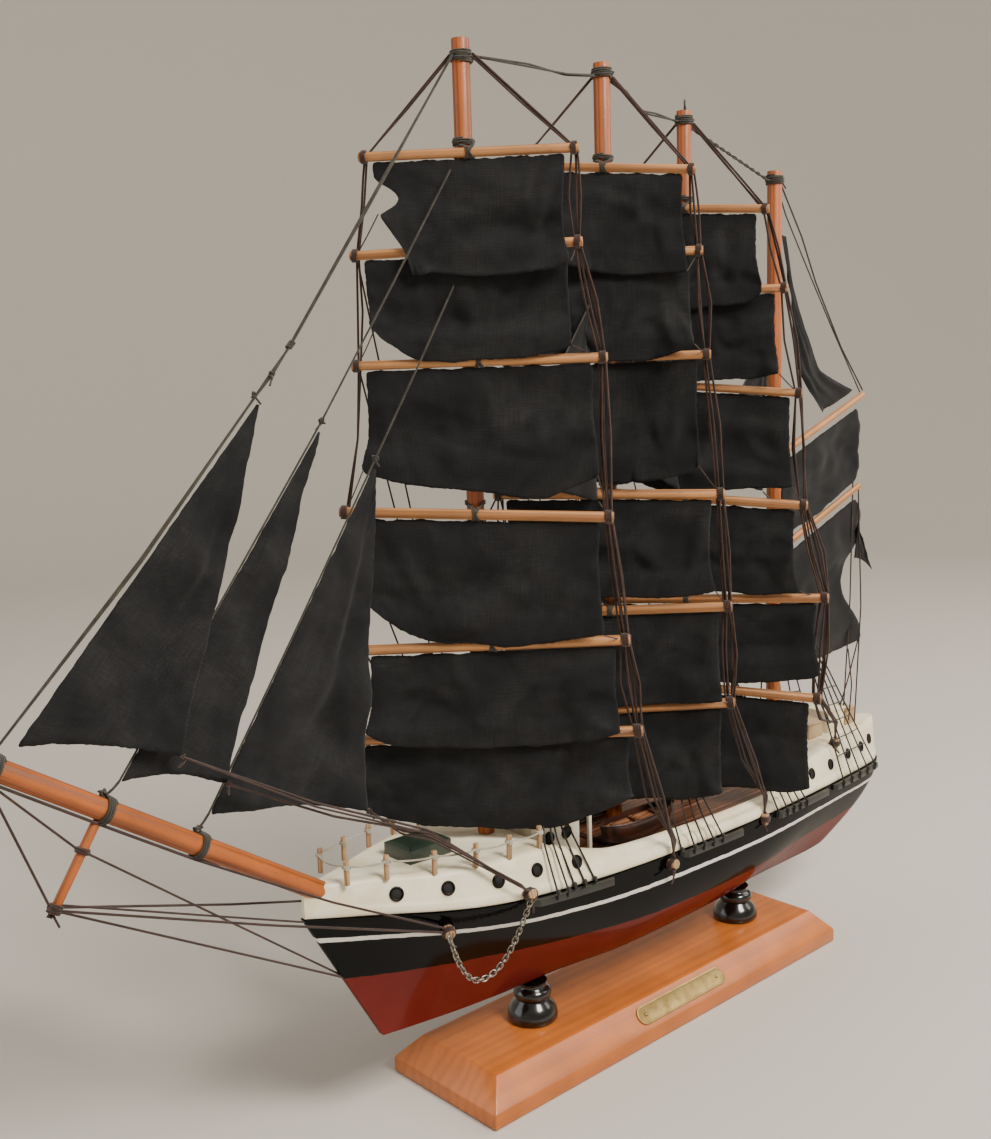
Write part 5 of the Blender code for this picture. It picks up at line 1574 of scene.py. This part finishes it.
def makeSheets():
    routes = []
    place, out = wallPlace(*pegs[0], 1)
    peg = place + out * 2.4
    for k, name in enumerate(jibs):                                 # the jibs' sheets run together to the bow peg
        clew = Vector(jibs[name][2])
        gather = Vector((150.0, 21.0 + k, 138.5 - 1.2 * k))
        routes += knot(clew + Vector((0, 0.6, 0)), 0.9, k)
        routes.append(([clew, clew.lerp(gather, 0.5) + Vector((0, 0.6, -2.5)), gather, peg + Vector((7, 1.6, 6.0 + k * 0.5)),
                        peg + Vector((0.4 * k, 0, 0.8))], rig["stay"]))
        if k != 1:
            routes.append(([clew + Vector((0, 0.8, 0)), clew.lerp(gather, 0.5) + Vector((0, 1.6, -4.0)),
                            gather + Vector((0, 0.8, -1.4)), peg + Vector((5, 2.2, 4.4)), peg + Vector((-0.8, 0, 1.2))],
                           rig["thread"]))
    for side in (1, -1):
        place, out = wallPlace(*pegs[0], side)
        routes.append((coil(place + out * 2.6, out, 2.3 + rig["lash"], 2.8, 4), rig["lash"]))
        routes += knot(place + out * 2.8 + Vector((-1.2, 0, -3.0)), 1.2, 0.8 * side)
    foot = Vector((-187.0, 6.0, 113.0))
    for k, start in enumerate([(-208.0, 0, 156.5), (-200.0, 0, 253.5), (-197.0, 0, 152.0), (-206.0, 0, 247.5)]):
        start = Vector(start)
        spread = Vector((-4.0 + 3.4 * k, -9.0 + 6.0 * k, -1.0))
        routes.append(([start, start.lerp(foot + spread, 0.5) + Vector((-1.0, 0.8 * k, 0)), foot + spread], rig["thread"]))
    return routes


shroudFeet = {"fore": (94.5, 69.7, 38.0, 38.0, 99.5, 98.0), "main": (10.0, -19.6, 39.5, 39.5, 95.0, 94.0),
              "mizzen": (-72.0, -100.0, 36.0, 33.0, 91.5, 90.0), "jigger": (-147.0, -195.5, 26.0, 15.6, 87.5, 84.5)}


def makeShrouds():
    routes = []
    for mast, (x0, x1, y0, y1, z0, z1) in shroudFeet.items():
        x, _, radius = masts[mast]
        peakHeight = 216.0 if mast == "jigger" else 205.0
        for side in (1, -1):
            lines = []
            for i in range(5):
                t = i / 4
                foot = Vector((x0 + (x1 - x0) * t, 0, z0 + (z1 - z0) * t))
                place, out = wallPlace(foot.x, foot.z - 1.5, side)
                foot.y = place.y + side * 0.5
                angle = radians(40 + 25 * i)
                top = Vector((x - cos(angle) * radius * 0.6, side * (radius + 0.3), peakHeight - i * 0.9))
                lines.append([top, foot])
                line = [top]
                hem = yards[mast][0][0] - 1.06 * yards[mast][0][4] - 3 if mast in yards else 100.0
                for height in ((190.0, 168.0, 150.0, hem + 4, hem - 5) if mast in yards else (150.0,)):
                    point = top.lerp(foot, (top.z - height) / (top.z - foot.z))
                    if mast in yards and height > hem:          # the shrouds pass behind the course and its yard
                        centre, _, forward, yardRadius = yardFrame(mast, 0)
                        ahead = (point - centre).dot(forward) + yardRadius + 1.6
                        point -= forward * max(0.0, ahead)
                    line.append(point)
                routes.append((line + [foot, foot + Vector((0, 0, -3.2))], rig["thread"] + 0.06))
                routes.append((coil(foot + Vector((0, side * 0.2, 0.5)), (0, 0, 1), 0.75, 1.8, 3), 0.35))
            routes.append((coil((x, 0, peakHeight - 1.6), (0, 0, 1), radius + 0.6, 4.0, 5), rig["lash"]))
            steps = 5 if mast == "jigger" else 0
            for r in range(steps):
                share = 0.88 - r * 0.075
                rung = [top.lerp(foot, share) + Vector((0, side * 0.45, 0.25 * sin(3 * r + i)))
                        for i, (top, foot) in enumerate(lines)]
                routes.append((rung, 0.36))
    return routes


def makeRigging():
    groups = {"stays": (makeStays(), greyThread, "dark_thread", ["standing_rigging"]),
              "braces": (makeBraces(), brownThread, "dark_thread", []),
              "spritStays": (makeBobstays(), brownThread, "dark_thread", []),
              "jibSheets": (makeSheets(), brownThread, "dark_thread", []),
              "shrouds": (makeShrouds(), shroudThread, "dark_thread", []),
              "lashings": (makeLashings(), greyThread, "dark_thread", [])}
    for name, (routes, material, slot, stands) in groups.items():
        finishPiece(strand(name, routes, 6), name, material, stands, 70)


chain = {"aft": (108.6, 39.6, 102.0), "fore": (148.0, 30.6, 94.0), "sag": 26.0, "lean": 0.35, "pitch": 2.1,
         "long": 3.1, "wide": 2.1, "wire": 0.36}


def makeChain():
    c = chain
    aft, fore = Vector(c["aft"]), Vector(c["fore"])

    def hang(t):
        point = aft.lerp(fore, min(1.0, max(0.0, t + c["lean"] * t * (1 - t))))
        return point - Vector((0, 0, c["sag"] * (1 - abs(2 * t - 1) ** 2.2)))

    fine = [hang(i / 400) for i in range(401)]
    total = sum((b - a).length for a, b in zip(fine, fine[1:]))
    count = round(total / c["pitch"])
    bpy.ops.object.select_all(action="DESELECT")
    bpy.ops.mesh.primitive_torus_add(major_segments=20, minor_segments=8, major_radius=c["wide"] / 2 * mm,
                                     minor_radius=c["wire"] * mm)
    pattern = bpy.context.object
    editing(pattern, edges=lambda e: all(v.co.x > 0.05 * mm for v in e.verts))
    bpy.ops.transform.translate(value=((c["long"] - c["wide"]) / 2 * mm, 0, 0))
    bpy.ops.mesh.select_all(action="DESELECT")
    editDone()
    editing(pattern, edges=lambda e: all(v.co.x < -0.05 * mm for v in e.verts))
    bpy.ops.transform.translate(value=(-(c["long"] - c["wide"]) / 2 * mm, 0, 0))
    editDone()
    links = []
    for k in range(count):
        place = along(fine, (k + 0.5) / count)
        way = (along(fine, (k + 0.9) / count) - along(fine, (k + 0.1) / count)).normalized()
        roll = (pi / 2 if k % 2 else 0.0) + 0.35 + 0.25 * sin(2.3 * k)
        turn = way.to_track_quat("X", "Z").to_matrix().to_4x4() @ Matrix.Rotation(roll, 4, "X")
        links.append(copyTo(pattern, Matrix.Translation(place * mm) @ turn))
    bpy.data.objects.remove(pattern)
    finishPiece(joinAll(links), "chainLinks", steel, ["anchor_chain"], 180, body="chain")


makeRigging()
makeChain()
print("rigging and chain made")
